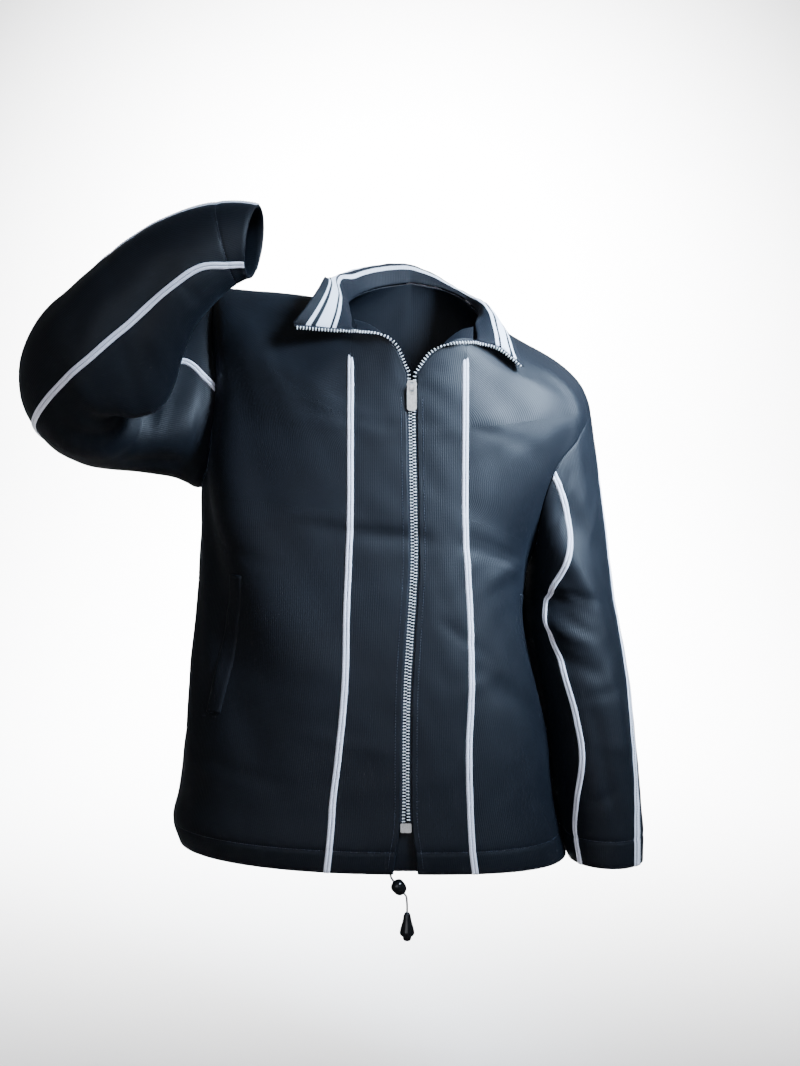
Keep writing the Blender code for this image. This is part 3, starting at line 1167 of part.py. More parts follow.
# ================================================================ whole jacket
def main():
    """Build every piece into the collection of the jacket."""
    global MODEL
    for thing in list(bpy.data.objects):
        bpy.data.objects.remove(thing, do_unlink=True)
    MODEL = bpy.data.collections.new("track_jacket")
    cutters = bpy.data.collections.new("cutters")
    bpy.context.scene.collection.children.link(MODEL)
    bpy.context.scene.collection.children.link(cutters)
    cloth = make_material("navy_double_knit", (0.022, 0.030, 0.052), 0.85)
    piping = make_material("pale_piping", (0.72, 0.72, 0.80), 0.80)
    stripe = make_material("sleeve_tape", (0.70, 0.70, 0.78), 0.80)
    tape_cloth = make_material("zip_tape", (0.015, 0.018, 0.028), 0.80)
    teeth = make_material("zip_teeth", (0.74, 0.74, 0.76), 0.45)
    metal = make_material("nickel_plate", (0.70, 0.70, 0.72), 0.28, 1.0)
    cord = make_material("hem_cord", (0.012, 0.012, 0.015), 0.70)
    plastic = make_material("black_plastic", (0.010, 0.010, 0.012), 0.25)
    levels, grids, tops = build_body(cloth)
    build_body_trims(levels, grids, piping, cloth)
    for side in (-1, 1):
        _, sleeve = build_sleeve(side, cloth)
        build_sleeve_trims(side, sleeve, piping, stripe)
        build_facing(side, cloth)
        inner = grids["front_left_inner" if side < 0 else "front_right_inner"]
        build_zip_side(side, zip_rows(side, levels, inner, tops[side]), tape_cloth, teeth)
    build_collar(cloth)
    build_zip_guard(cloth)
    build_zip_box(metal)
    pivot = build_slider(metal, cutters)
    build_pull_tab(pivot, metal)
    build_hem_cord(cord, plastic)


main()
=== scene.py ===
"""Finish of the track jacket: knitted cloth, piping, striped collar, zip and hem cord, with a plain stage.

The cloth panels, sleeves and collar follow the same surfaces as the solids, in finer steps.  Metres,
+Z up, +X to the viewer's right, the front faces -Y.  Left and right are the viewer's.
"""
import math

import bmesh
import bpy
import numpy as np
from bpy.props import FloatProperty, FloatVectorProperty, PointerProperty
from bpy.types import Operator, Panel, PropertyGroup
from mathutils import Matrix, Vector


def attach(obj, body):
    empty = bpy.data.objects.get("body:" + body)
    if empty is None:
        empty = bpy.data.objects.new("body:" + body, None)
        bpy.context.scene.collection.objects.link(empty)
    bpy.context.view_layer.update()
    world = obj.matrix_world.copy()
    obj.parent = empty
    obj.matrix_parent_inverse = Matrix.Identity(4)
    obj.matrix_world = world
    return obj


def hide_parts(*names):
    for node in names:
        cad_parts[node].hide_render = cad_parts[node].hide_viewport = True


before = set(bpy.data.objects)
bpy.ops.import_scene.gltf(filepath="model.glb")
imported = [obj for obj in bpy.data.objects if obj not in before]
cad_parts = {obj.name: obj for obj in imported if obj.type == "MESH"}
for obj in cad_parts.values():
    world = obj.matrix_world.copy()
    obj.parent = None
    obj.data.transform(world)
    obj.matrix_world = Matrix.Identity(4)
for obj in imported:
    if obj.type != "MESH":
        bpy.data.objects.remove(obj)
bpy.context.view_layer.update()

bl_info = {
    "name": "Track Jacket Finish",
    "version": (1, 0, 0),
    "blender": (4, 5, 0),
    "location": "3D View > Sidebar > Jacket",
    "description": "Knitted cloth, piping, striped collar, zip and hem cord of a worn track jacket",
    "category": "Object",
}

BODY = "jacket"

# -------- sizes of cloth and trims
CLOTH = 0.0016  # wall of the double-knit cloth
HEM_WALL = 0.003  # cloth turned up at hem and cuffs
HEM_LEVEL = 0.04  # level of the hem's topstitching, 27 mm above the edge
PIPING_TOP_LEVELS = (0.92, 0.945)  # where the left and the right front piping end
TAPE_WIDTH = 0.013  # double stripe down the outer arm
TAPE_RISE = 0.0011

# -------- zip
TAPE_SHOWS = 0.003  # zip tape that shows beside the teeth
TAPE_UNDER = 0.009  # zip tape behind the front's edge
TAPE_THICK = 0.0008
TAPE_DEPTH = 0.0019  # of the tape's face behind the front's outer face
TAPE_DEPTH_OPEN = 0.0016  # the same where the zip is open
TAPE_CLEAR = 0.0008  # from the front's edge to the tape where the zip is open
PART_SHIFT = 0.0011  # how far each side has parted at the slider's top
PART_LEVELS = (0.93, 0.943)  # between which the two sides part
GUARD_WIDTH = 0.034
GUARD_DEPTH = 0.0056
GUARD_THICK = 0.0012
ZIP_LEVELS = (0.099, 0.14, 0.2, 0.26, 0.32, 0.38, 0.43, 0.48, 0.52, 0.56, 0.6, 0.6357, 0.6658, 0.7,
    0.7362, 0.7676, 0.8, 0.83, 0.86, 0.89, 0.92, 0.93, 0.934, 0.938, 0.943, 0.956, 0.968, 1.0)
ZIP_OPEN_TURNS = (7.0, 12.0, 17.0, 24.0, 30.0, 36.0, 41.0, 45.0)
ZIP_COLLAR_SHARES = (0.06, 0.16, 0.26, 0.33, 0.4, 0.5, 0.62, 0.75, 0.88, 0.97)
GUARD_TOP = 0.94  # level of the guard's upper edge

# -------- collar
# Fold line and free edge of the collar, round from the right front over the back to the left.
# turn, x, y, z
COLLAR_FOLD = (
    (46, 0.096, -0.103, -0.063),
    (55, 0.095, -0.092, -0.047),
    (65, 0.092, -0.071, -0.023),
    (80, 0.087, -0.035, -0.002),
    (95, 0.084, -0.004, 0.009),
    (115, 0.075, 0.035, 0.024),
    (140, 0.053, 0.068, 0.043),
    (160, 0.028, 0.082, 0.062),
    (180, 0, 0.086, 0.074),
    (220, -0.058, 0.068, 0.068),
    (245, -0.081, 0.038, 0.054),
    (265, -0.089, 0.002, 0.04),
    (280, -0.089, -0.036, 0.025),
    (295, -0.084, -0.074, 0),
    (305, -0.085, -0.095, -0.0215),
    (314, -0.09, -0.11, -0.044),
)
COLLAR_EDGE = (
    (46, 0.123, -0.1, -0.084),
    (55, 0.1195, -0.091, -0.072),
    (65, 0.115, -0.074, -0.054),
    (80, 0.106, -0.04, -0.028),
    (95, 0.101, -0.005, -0.011),
    (115, 0.096, 0.042, 0.002),
    (140, 0.068, 0.086, 0.016),
    (160, 0.034, 0.098, 0.029),
    (180, 0, 0.102, 0.037),
    (220, -0.07, 0.086, 0.033),
    (245, -0.095, 0.045, 0.031),
    (262, -0.103, 0.008, 0.03),
    (278, -0.102, -0.042, 0.028),
    (292, -0.101, -0.084, 0.016),
    (300, -0.107, -0.099, 0),
    (307, -0.119, -0.107, -0.02),
    (314, -0.1345, -0.112, -0.0405),
)
COLLAR_SEAT = (0.0016, 0.0012)  # of its lower edge, on from the neckline and out of the body
COLLAR_WALL = 0.002
FOLD_SHARE = 0.37  # share of the collar's height below its fold
FOLD_ROUND = 0.02  # how widely the collar rolls over at the fold
COLLAR_START = 47.0  # turns at which the collar's two front ends lie
COLLAR_END = 313.0

# -------- hem cord
CORD_RADIUS = 0.00115
CORD_UPPER = ((-0.0246, -0.1344, -0.6354), (-0.024, -0.1347, -0.6382), (-0.02143, -0.13538, -0.64184))
CORD_LOWER = ((-0.0101, -0.1364, -0.6548), (-0.008, -0.1366, -0.6575), (-0.007, -0.1368, -0.664),
    (-0.0068, -0.1368, -0.6752))
LOCK_FOOT = (-0.0212, -0.1354, -0.6421)
LOCK_AXIS = (0.66, -0.06, -0.75)
# distance, radius
LOCK_PROFILE = ((0.0, 0.0014), (0.0008, 0.0036), (0.002, 0.0058), (0.0045, 0.0074), (0.0085, 0.0075),
    (0.0125, 0.0068), (0.0155, 0.0048), (0.0166, 0.003))
BELL_FOOT = (-0.0068, -0.1368, -0.6756)
BELL_AXIS = (0.0, 0.0, -1.0)
BELL_PROFILE = ((0.0, 0.0026), (0.002, 0.0036), (0.008, 0.0048), (0.015, 0.0068), (0.02, 0.0079),
    (0.0225, 0.0078), (0.024, 0.0066), (0.025, 0.0048), (0.0275, 0.0046), (0.0292, 0.0036),
    (0.03, 0.0018))

# -------- body of the jacket
# Each level is a closed ring: heights and reaches at the front, right, back and left.
# level, z_front, z_right, z_back, z_left, x_right, x_left, y_front, y_back, square
LEVELS = (
    (0, -0.635, -0.642, -0.648, -0.626, 0.182, -0.2755, -0.136, 0.124, 2.5),
    (0.04, -0.612, -0.617, -0.622, -0.603, 0.175, -0.283, -0.14, 0.128, 2.5),
    (0.1, -0.573, -0.577, -0.582, -0.568, 0.167, -0.2765, -0.139, 0.127, 2.5),
    (0.2, -0.51, -0.512, -0.516, -0.508, 0.16, -0.269, -0.138, 0.126, 2.5),
    (0.32, -0.43, -0.434, -0.432, -0.425, 0.144, -0.2595, -0.136, 0.124, 2.5),
    (0.43, -0.356, -0.364, -0.35, -0.345, 0.13, -0.251, -0.133, 0.122, 2.5),
    (0.52, -0.298, -0.325, -0.285, -0.275, 0.134, -0.25, -0.13, 0.121, 2.5),
    (0.6, -0.248, -0.292, -0.225, -0.212, 0.143, -0.251, -0.128, 0.12, 2.45),
    (0.7, -0.195, -0.205, -0.15, -0.095, 0.19, -0.238, -0.125, 0.117, 2.4),
    (0.8, -0.155, -0.122, -0.08, 0.018, 0.212, -0.232, -0.1225, 0.11, 2.4),
    (0.87, -0.135, -0.074, -0.035, 0.023, 0.188, -0.19, -0.121, 0.102, 2.4),
    (0.94, -0.118, -0.044, 0.012, 0.021, 0.14, -0.14, -0.12, 0.092, 2.4),
    (1, -0.1, -0.008, 0.048, 0.01, 0.083, -0.083, -0.119, 0.08, 2.6),
)
NECK_BLEND_LEVEL = 0.84  # above it the rings run into the neck opening

# The neck opening, from the slider round to the back: unzipped edges, then the neckline seam.
# turn, x, y, z
NECK = (
    (-180, 0, 0.078, 0.05),
    (-150, -0.04, 0.068, 0.042),
    (-125, -0.066, 0.042, 0.028),
    (-100, -0.078, 0.003, 0.01),
    (-80, -0.076, -0.036, -0.004),
    (-62, -0.071, -0.08, -0.026),
    (-46, -0.065, -0.108, -0.045),
    (-36, -0.0455, -0.117, -0.0475),
    (-24, -0.029, -0.121, -0.0565),
    (-12, -0.0165, -0.121, -0.073),
    (-4, -0.0077, -0.1195, -0.094),
    (0, -0.0015, -0.119, -0.102),
    (4, 0.0047, -0.1195, -0.095),
    (12, 0.013, -0.121, -0.083),
    (24, 0.0296, -0.121, -0.0665),
    (36, 0.0516, -0.116, -0.0565),
    (46, 0.0695, -0.104, -0.0565),
    (62, 0.0715, -0.078, -0.034),
    (80, 0.078, -0.034, -0.016),
    (100, 0.078, 0.003, -0.002),
    (125, 0.064, 0.042, 0.022),
    (150, 0.038, 0.068, 0.04),
    (180, 0, 0.078, 0.05),
)
SEAM_TURN = 46.0  # where the neckline seam meets the zip

# Seams that run down the body, as the distance in X from the middle at each level, and half
# of the opening between the two fronts, which part below the zip.
# level, princess_left, zip_middle, princess_right, half_gap
SEAMS = (
    (0, -0.0937, -0.0085, 0.067, 0.014),
    (0.04, -0.091, -0.0082, 0.064, 0.0115),
    (0.083, -0.0885, -0.008, 0.0622, 0.0072),
    (0.12, -0.087, -0.008, 0.0612, 0.0062),
    (0.2, -0.081, -0.008, 0.06, 0.0062),
    (0.32, -0.0735, -0.0065, 0.0632, 0.0062),
    (0.43, -0.0722, -0.002, 0.062, 0.0062),
    (0.52, -0.07, 0.001, 0.059, 0.0062),
    (0.6, -0.0685, 0.0005, 0.0568, 0.0062),
    (0.7, -0.0684, -0.0005, 0.0566, 0.0062),
    (0.8, -0.0684, -0.0012, 0.057, 0.0062),
    (0.9, -0.0684, -0.0015, 0.0575, 0.0062),
    (1, -0.0684, -0.0015, 0.059, 0.0062),
)
FRONT_HALF_GAP = 0.0062  # least half of the opening, which the teeth need

# The right side seam runs back towards the hem, because the body is drawn to the left.
# level, turn
SIDE_RIGHT = ((0.0, 108.0), (0.3, 103.0), (0.6, 90.0), (1.0, 90.0))

ARMHOLE_MIDDLE = 0.7  # level of the armhole's middle
ARMHOLE_REACH = 0.1  # levels from its middle to its top and bottom
ARMHOLE_RIGHT = (38.0, 34.0)  # degrees cut away in front of and behind the side
ARMHOLE_LEFT = (25.0, 25.0)

# Folds of the body: a line from start to end, ridge above zero and trough below.
# turn0, level0, turn1, level1, width, height
FOLDS = (
    (-62, 0.74, -36, 0.44, 0.03, 0.0085),
    (-36, 0.44, -20, 0.3, 0.026, 0.0045),
    (-74, 0.64, -48, 0.36, 0.026, -0.0085),
    (-48, 0.36, -34, 0.16, 0.024, -0.004),
    (-84, 0.5, -64, 0.2, 0.022, 0.005),
    (-20, 0.56, 10, 0.555, 0.01, -0.0022),
    (22, 0.555, 50, 0.54, 0.009, -0.0025),
    (38, 0.5, 62, 0.56, 0.012, 0.003),
    (30, 0.34, 62, 0.25, 0.014, -0.0035),
    (54, 0.45, 70, 0.22, 0.02, 0.0032),
    (68, 0.42, 84, 0.16, 0.02, -0.003),
    (58, 0.87, 57, 0.7, 0.011, 0.004),
    (72, 0.86, 70, 0.78, 0.011, -0.003),
    (-50, 0.93, -60, 0.84, 0.018, -0.005),
    (-34, 0.9, -24, 0.8, 0.016, 0.0025),
    (28, 0.92, 34, 0.8, 0.018, -0.0025),
    (205, 0.6, 180, 0.36, 0.03, 0.006),
    (230, 0.56, 214, 0.24, 0.026, -0.0065),
    (150, 0.62, 162, 0.34, 0.028, -0.0055),
    (128, 0.55, 138, 0.22, 0.022, 0.006),
    (170, 0.3, 200, 0.27, 0.016, -0.0035),
    (246, 0.44, 238, 0.12, 0.022, 0.0055),
    (180, 0.9, 180, 0.8, 0.026, -0.003),
    (112, 0.4, 118, 0.12, 0.018, -0.0045),
)
TURN_SCALE = 0.0032  # metres of cloth to a degree of turn
LEVEL_SCALE = 0.62  # metres of cloth to one level

# -------- hanging sleeve
# Rings from the armpit to the cuff: middle of the ring, half width and half depth.
# z, x_mid, y_mid, half_w, half_d
RIGHT_ARM = (
    (-0.345, 0.189, -0.01, 0.049, 0.067),
    (-0.39, 0.1945, -0.018, 0.051, 0.063),
    (-0.43, 0.201, -0.024, 0.051, 0.06),
    (-0.5, 0.211, -0.029, 0.049, 0.056),
    (-0.57, 0.219, -0.032, 0.047, 0.052),
    (-0.612, 0.224, -0.034, 0.045, 0.048),
    (-0.646, 0.226, -0.035, 0.0425, 0.0455),
)
RIGHT_ARM_BY_DEPTH = tuple((-row[0], *row[1:]) for row in RIGHT_ARM)
CAP_SHARE = 0.4  # share of the hanging sleeve from the armhole to its first ring
# Slack cloth tucked in behind the body's side: how far it reaches in and back at each depth, and its turn and spread.
RIGHT_TUCK = (
    (0.345, 0.025, 0.004),
    (0.39, 0.0245, 0.008),
    (0.43, 0.0213, 0.015),
    (0.5, 0.0162, 0.019),
    (0.57, 0.0186, 0.02),
    (0.612, 0.0182, 0.024),
    (0.646, 0.01, 0.026),
)
TUCK_PLACE = (234.0, 30.0)

# -------- raised sleeve
ELBOW = (-0.371, -0.103, -0.115)  # middle of the arm at the elbow's bend
CUFF = (-0.168, -0.16, 0.039)  # middle of the cuff's opening
SHOULDER = (-0.235, 0.004, -0.098)  # middle of the armhole
BEND_RADIUS = 0.075  # of the arm's middle line round the elbow
UPPER_HALF = (0.07, 0.092)  # half sizes across and along the bend's axis
ELBOW_HALF = (0.058, 0.066)
FOREARM_HALF = (0.053, 0.064)
FOREARM_MIDDLE_HALF = (0.047, 0.056)
CUFF_HALF = (0.034, 0.041)

CUFF_LEAVE = 0.165  # how strongly the forearm bows up before the cuff
CUFF_ARRIVE = (0.185, -0.02, -0.03)  # way that the sleeve runs at the cuff
LEFT_CAP_SHARE = 0.26  # share of the raised sleeve over which the armhole turns into a ring
CAP_CARRY = 0.55  # how far the armhole's shape is carried along the arm meanwhile
LEFT_TOP_TURN = -129.0  # turn of the armhole's top from the elbow's outer side
CROOK = (51.0, 0.39)  # turn and share of the raised sleeve at the inside of the elbow
# Slack cloth of the forearm that hangs over the crook: turn, place along, and its spreads round, before and after.
DRAPE = (120.0, 0.655, 42.0, 0.12, 0.075)
DRAPE_DROP = (0.0, 0.022, -0.045)

# Turn of each trim round a sleeve, with 0 at the top of the armhole and 90 at its front.
# along, tape, front, back
RIGHT_TRIMS = (
    (0, 0, 90, -90),
    (0.06, 3, 85, -94),
    (0.135, 6, 82, -97),
    (0.215, 10, 86, -100),
    (0.27, 12, 98, -101),
    (0.325, 14, 120, -102),
    (0.4, 16, 138, -103),
    (0.45, 17, 138, -103),
    (0.535, 21, 128, -103),
    (0.665, 30, 118, -102),
    (0.755, 35, 118, -101),
    (0.85, 40, 134, -100),
    (0.925, 44, 147, -99),
    (1, 45, 144, -98),
)
LEFT_TRIMS = (
    (0, 0, 84, -90),
    (0.05, -2, 75, -97),
    (0.12, -5, 57, -104),
    (0.2, -9, 62, -110),
    (0.27, -14, 76, -118),
    (0.395, -34, 88, -142),
    (0.445, -42, 90, -158),
    (0.505, -50, 88, -170),
    (0.64, -65, 76, -174),
    (0.78, -77, 65, -180),
    (0.87, -82, 60, -184),
    (0.94, -81, 59, -199),
    (1, -78, 58, -205),
)

# Folds of the sleeves: a line from start to end, ridge above zero and trough below.
# turn0, along0, turn1, along1, width, height
RIGHT_FOLDS = (
    (90, 0.1, 40, 0.34, 0.016, -0.0045),
    (110, 0.16, 60, 0.46, 0.014, 0.004),
    (150, 0.34, 96, 0.44, 0.014, -0.0042),
    (150, 0.43, 90, 0.5, 0.011, 0.0045),
    (140, 0.52, 80, 0.56, 0.011, -0.0035),
    (60, 0.58, 50, 0.86, 0.013, 0.003),
    (95, 0.66, 80, 0.9, 0.011, -0.003),
    (230, 0.28, 290, 0.4, 0.016, -0.004),
    (220, 0.44, 300, 0.52, 0.014, 0.004),
    (250, 0.6, 270, 0.84, 0.014, -0.0035),
    (320, 0.5, 330, 0.8, 0.014, 0.003),
)
LEFT_FOLDS = (
    (100, 0.05, 120, 0.3, 0.016, 0.005),
    (130, 0.06, 150, 0.28, 0.014, -0.005),
    (70, 0.1, 90, 0.34, 0.014, -0.0045),
    (50, 0.34, 130, 0.36, 0.013, -0.0032),
    (40, 0.5, 140, 0.49, 0.013, -0.0032),
    (150, 0.36, 200, 0.44, 0.016, 0.0045),
    (170, 0.52, 215, 0.66, 0.015, 0.0045),
    (160, 0.6, 200, 0.8, 0.014, -0.004),
    (235, 0.56, 255, 0.84, 0.014, 0.003),
    (300, 0.55, 310, 0.85, 0.014, -0.003),
    (20, 0.58, 40, 0.84, 0.014, 0.003),
    (215, 0.06, 200, 0.26, 0.018, -0.0045),
    (300, 0.05, 280, 0.26, 0.018, -0.004),
)
ARM_TURN_SCALE = 0.0011  # metres of cloth to a degree of turn
ARM_LEVEL_SCALE = 0.5  # metres of cloth along a whole sleeve

# -------- pockets
POCKET_TOP_LEVEL = 0.48
POCKET_BOTTOM_LEVEL = 0.26
POCKET_SHARE = 0.085  # width of a pocket's welt as a share of the outer front
POCKET_RISE = 0.0014
LEFT_POCKET = (0.38, 0.45)  # place of the welt's inner edge at its top and bottom
RIGHT_POCKET = (0.56, 0.62)

# -------- rows of the fronts, from which the zip's line is read, and the facings
LOWER_LEVELS = (0.0, 0.02, 0.04, 0.045, 0.083, 0.14, 0.2, 0.26, 0.32, 0.38, 0.43, 0.48, 0.52, 0.56)
ARMHOLE_TURNS = (180.0, 150.0, 130.0, 110.0, 90.0, 68.75, 47.5, 26.25, 0.0)
UPPER_LEVELS = (0.83, 0.86, 0.89, 0.92, 0.945, 0.968, 1.0)
INNER_COLUMNS = 6
CUFF_SHARE = 0.942  # along both sleeves, where the turned cuff begins
FACING_START = 26.0  # turn at which the facing begins to show beside the zip
FACING_TOP_TURN = 60.0  # turn up to which it follows the collar's seam
FACING_MIN = 0.004
FACING_BEHIND = 0.0021
FACING_THICK = 0.0012


# ======== curves and surfaces
def table_curve(rows, position):
    """Read every column of a table at the given positions, on a smooth curve through its rows."""
    rows = np.asarray(rows, float)
    knots, values = rows[:, 0], rows[:, 1:]
    slopes = np.gradient(values, knots, axis=0)
    position = np.clip(np.asarray(position, float), knots[0], knots[-1])
    index = np.clip(np.searchsorted(knots, position, side="right") - 1, 0, len(knots) - 2)
    span = knots[index + 1] - knots[index]
    t = ((position - knots[index]) / span)[..., None]
    span = span[..., None]
    return ((1 + 2 * t) * (1 - t) ** 2 * values[index] + t * (1 - t) ** 2 * span * slopes[index]
        + t * t * (3 - 2 * t) * values[index + 1] - t * t * (1 - t) * span * slopes[index + 1])


def as_pair(first, second):
    """Two arrays of numbers in one shape."""
    return np.broadcast_arrays(np.asarray(first, float), np.asarray(second, float))


def distances_along(points):
    """Distance of every point of a line from its first one."""
    return np.concatenate(((0.0,), np.cumsum(np.linalg.norm(np.diff(points, axis=0), axis=1))))


def steps_to_one(count):
    """Even steps from 0 to 1."""
    return np.linspace(0.0, 1.0, count)


def ease(value):
    """Go softly from 0 to 1 as the value does."""
    value = np.clip(value, 0.0, 1.0)
    return value * value * (3.0 - 2.0 * value)


def unit(vectors):
    """Make vectors one long."""
    vectors = np.asarray(vectors, float)
    return vectors / np.maximum(np.linalg.norm(vectors, axis=-1, keepdims=True), 1e-12)


def wrapped(turn):
    """Bring a turn to the range from -180 to 180 degrees."""
    return (np.asarray(turn, float) + 180.0) % 360.0 - 180.0


def fold_relief(turn, level, folds, turn_scale, level_scale):
    """Height of the folds at points of a surface, in metres along its normal."""
    height = np.zeros(np.broadcast(turn, level).shape)
    for turn0, level0, turn1, level1, width, rise in folds:
        across = wrapped(turn - turn0) * turn_scale
        along = (level - level0) * level_scale
        line = np.array(((turn1 - turn0) * turn_scale, (level1 - level0) * level_scale))
        share = np.clip((across * line[0] + along * line[1]) / line.dot(line), 0.0, 1.0)
        away = np.hypot(across - share * line[0], along - share * line[1])
        height = height + rise * (0.45 + 0.55 * np.sin(np.pi * share)) * np.exp(-(away / width) ** 2)
    return height


def surface_normal(surface, first, second, sign):
    """Outward normal of a surface from its slopes in both directions."""
    first, second = as_pair(first, second)
    high, low = np.minimum(second + 0.003, 1.0), np.maximum(second - 0.003, 0.0)
    slope_a = surface(first + 0.6, second) - surface(first - 0.6, second)
    slope_b = surface(first, high) - surface(first, low)
    return sign * unit(np.cross(slope_a, slope_b))


def body_base(turn, level):
    """Point of the jacket's body before its folds; turn 0 is the front and 90 the right side."""
    turn, level = as_pair(turn, level)
    ring = table_curve(LEVELS, level)
    z_front, z_right, z_back, z_left, x_right, x_left, y_front, y_back, square = np.moveaxis(ring, -1, 0)
    angle = np.radians(turn)
    side, ahead = np.sin(angle), np.cos(angle)
    swell = (np.abs(side) ** square + np.abs(ahead) ** square) ** (-1.0 / square)
    x = np.where(side >= 0, x_right, -x_left) * side * swell
    y = np.where(ahead >= 0, y_front, -y_back) * ahead * swell
    z = np.where(side >= 0, z_right, z_left) * side ** 2 + np.where(ahead >= 0, z_front, z_back) * ahead ** 2
    ring_point = np.stack((x, y, z), axis=-1)
    neck_point = table_curve(NECK, wrapped(turn))
    share = np.clip((level - NECK_BLEND_LEVEL) / (1.0 - NECK_BLEND_LEVEL), 0.0, 1.0)[..., None]
    blend = 2.2 * share ** 2 - 1.2 * share ** 3
    return ring_point * (1.0 - blend) + neck_point * blend


def body(turn, level):
    """Point of the jacket's body with its folds."""
    normal = surface_normal(body_base, turn, level, 1.0)
    quiet = ease((1.0 - np.asarray(level, float)) / 0.06)
    height = fold_relief(turn, level, FOLDS, TURN_SCALE, LEVEL_SCALE) * quiet
    return body_base(turn, level) + normal * height[..., None]


def body_normal(turn, level):
    """Outward normal of the jacket's body."""
    return surface_normal(body, turn, level, 1.0)


def turn_at_x(level, x_wanted):
    """Turn on the front at which the body has the wanted X."""
    low = np.full(np.shape(level), -89.0)
    high = np.full(np.shape(level), 89.0)
    for _ in range(26):
        middle = 0.5 * (low + high)
        short = body_base(middle, level)[..., 0] < x_wanted
        low = np.where(short, middle, low)
        high = np.where(short, high, middle)
    return 0.5 * (low + high)


def seam_turn(level, column, offset=0.0):
    """Turn of a lengthwise seam of SEAMS at the given levels."""
    return turn_at_x(level, table_curve(SEAMS, level)[..., column] + offset)


def front_edge(level, side):
    """Turn of a front's edge beside the zip; side is -1 on the left and 1 on the right."""
    return seam_turn(level, 1, side * np.maximum(table_curve(SEAMS, level)[..., 3], FRONT_HALF_GAP))


def armhole_cut(level, degrees):
    """Degrees that an armhole takes from a panel at the given levels."""
    share = (np.asarray(level, float) - ARMHOLE_MIDDLE) / ARMHOLE_REACH
    return degrees * np.sqrt(np.clip(1.0 - share ** 2, 0.0, 1.0))


def right_side(level, which):
    """Turn at which the front (0) or the back (1) ends at the right side."""
    cut = armhole_cut(level, ARMHOLE_RIGHT[which])
    return np.maximum(table_curve(SIDE_RIGHT, level)[..., 0], 90.0) + (cut if which else -cut)


def left_side(level, which):
    """Turn at which the front (0) or the back (1) ends at the left side."""
    cut = armhole_cut(level, ARMHOLE_LEFT[which])
    return -90.0 + (-cut if which else cut)


# ======== sleeves
def armhole_place(turn, side):
    """Turn and level on the body of a point of an armhole's edge."""
    angle = np.radians(turn)
    level = ARMHOLE_MIDDLE + ARMHOLE_REACH * np.cos(angle)
    reaches = ARMHOLE_RIGHT if side > 0 else ARMHOLE_LEFT
    reach = np.where(np.sin(angle) > 0, reaches[0], reaches[1])
    return side * (90.0 - reach * np.sin(angle)), level


def right_arm_base(turn, along):
    """Point of the hanging sleeve before its folds."""
    turn, along = as_pair(turn, along)
    angle = np.radians(turn)
    first_z, last_z = RIGHT_ARM[0][0], RIGHT_ARM[-1][0]
    share = np.clip((along - CAP_SHARE) / (1.0 - CAP_SHARE), 0.0, 1.0)
    z = first_z + (last_z - first_z) * share
    middle_x, middle_y, half_w, half_d = np.moveaxis(table_curve(RIGHT_ARM_BY_DEPTH, -z), -1, 0)
    lobe = np.exp(-(wrapped(turn - TUCK_PLACE[0]) / TUCK_PLACE[1]) ** 2) * ease(along / 0.3)
    tuck = table_curve(RIGHT_TUCK, -z) * lobe[..., None]
    x, y = middle_x + half_w * np.cos(angle) - tuck[..., 0], middle_y - half_d * np.sin(angle) + tuck[..., 1]
    ring = np.stack((x, y, z), axis=-1)
    blend = np.clip(along / CAP_SHARE, 0.0, 1.0)[..., None]
    return armhole(turn, 1) * (1.0 - blend) + ring * blend


def arm_frames():
    """Directions and turning points of the raised arm."""
    elbow, cuff, shoulder = (np.array(place) for place in (ELBOW, CUFF, SHOULDER))
    to_shoulder = unit(shoulder - elbow)
    to_cuff = unit(cuff - elbow)
    axis = unit(np.cross(to_shoulder, to_cuff))
    bisector = unit(to_shoulder + to_cuff)
    pivot = elbow + BEND_RADIUS * bisector
    out_upper = -unit(to_cuff - to_cuff.dot(to_shoulder) * to_shoulder)
    out_lower = -unit(to_shoulder - to_cuff.dot(to_shoulder) * to_cuff)
    bend = math.acos(np.clip(out_upper.dot(out_lower), -1.0, 1.0))
    return axis, pivot, out_upper, out_lower, bend, shoulder, cuff


def left_arm_track():
    """Table of the raised sleeve's middle line and of two directions across it."""
    axis, pivot, out_upper, out_lower, bend, shoulder, cuff = arm_frames()
    start, end = pivot + BEND_RADIUS * out_upper, pivot + BEND_RADIUS * out_lower
    beside = np.cross(axis, out_upper)
    beside = beside if np.dot(beside, out_lower) > 0 else -beside
    t = steps_to_one(60)[:, None]
    angle = bend * t
    turned = pivot + BEND_RADIUS * (out_upper * np.cos(angle) + beside * np.sin(angle))
    last = hermite(end, cuff, unit(turned[-1] - turned[-2]) * CUFF_LEAVE, np.array(CUFF_ARRIVE), t)
    arrive = unit(turned[1] - turned[0]) * np.linalg.norm(start - shoulder)
    first = hermite(shoulder, start, (start - shoulder) * 1.1, arrive, t)
    track = np.concatenate((first[:-1], turned[:-1], last))
    length = distances_along(track)
    tangents = unit(np.gradient(track, length, axis=0))
    across = [axis]
    for tangent in tangents[1:]:
        across.append(unit(across[-1] - across[-1].dot(tangent) * tangent))
    across = np.array(across)
    out = np.cross(across, tangents)
    out = out if out[0].dot(out_upper) > 0 else -out
    marks = length[[59, 118]] / length[-1]
    return length / length[-1], track, out, across, marks


ARM_TRACK = []


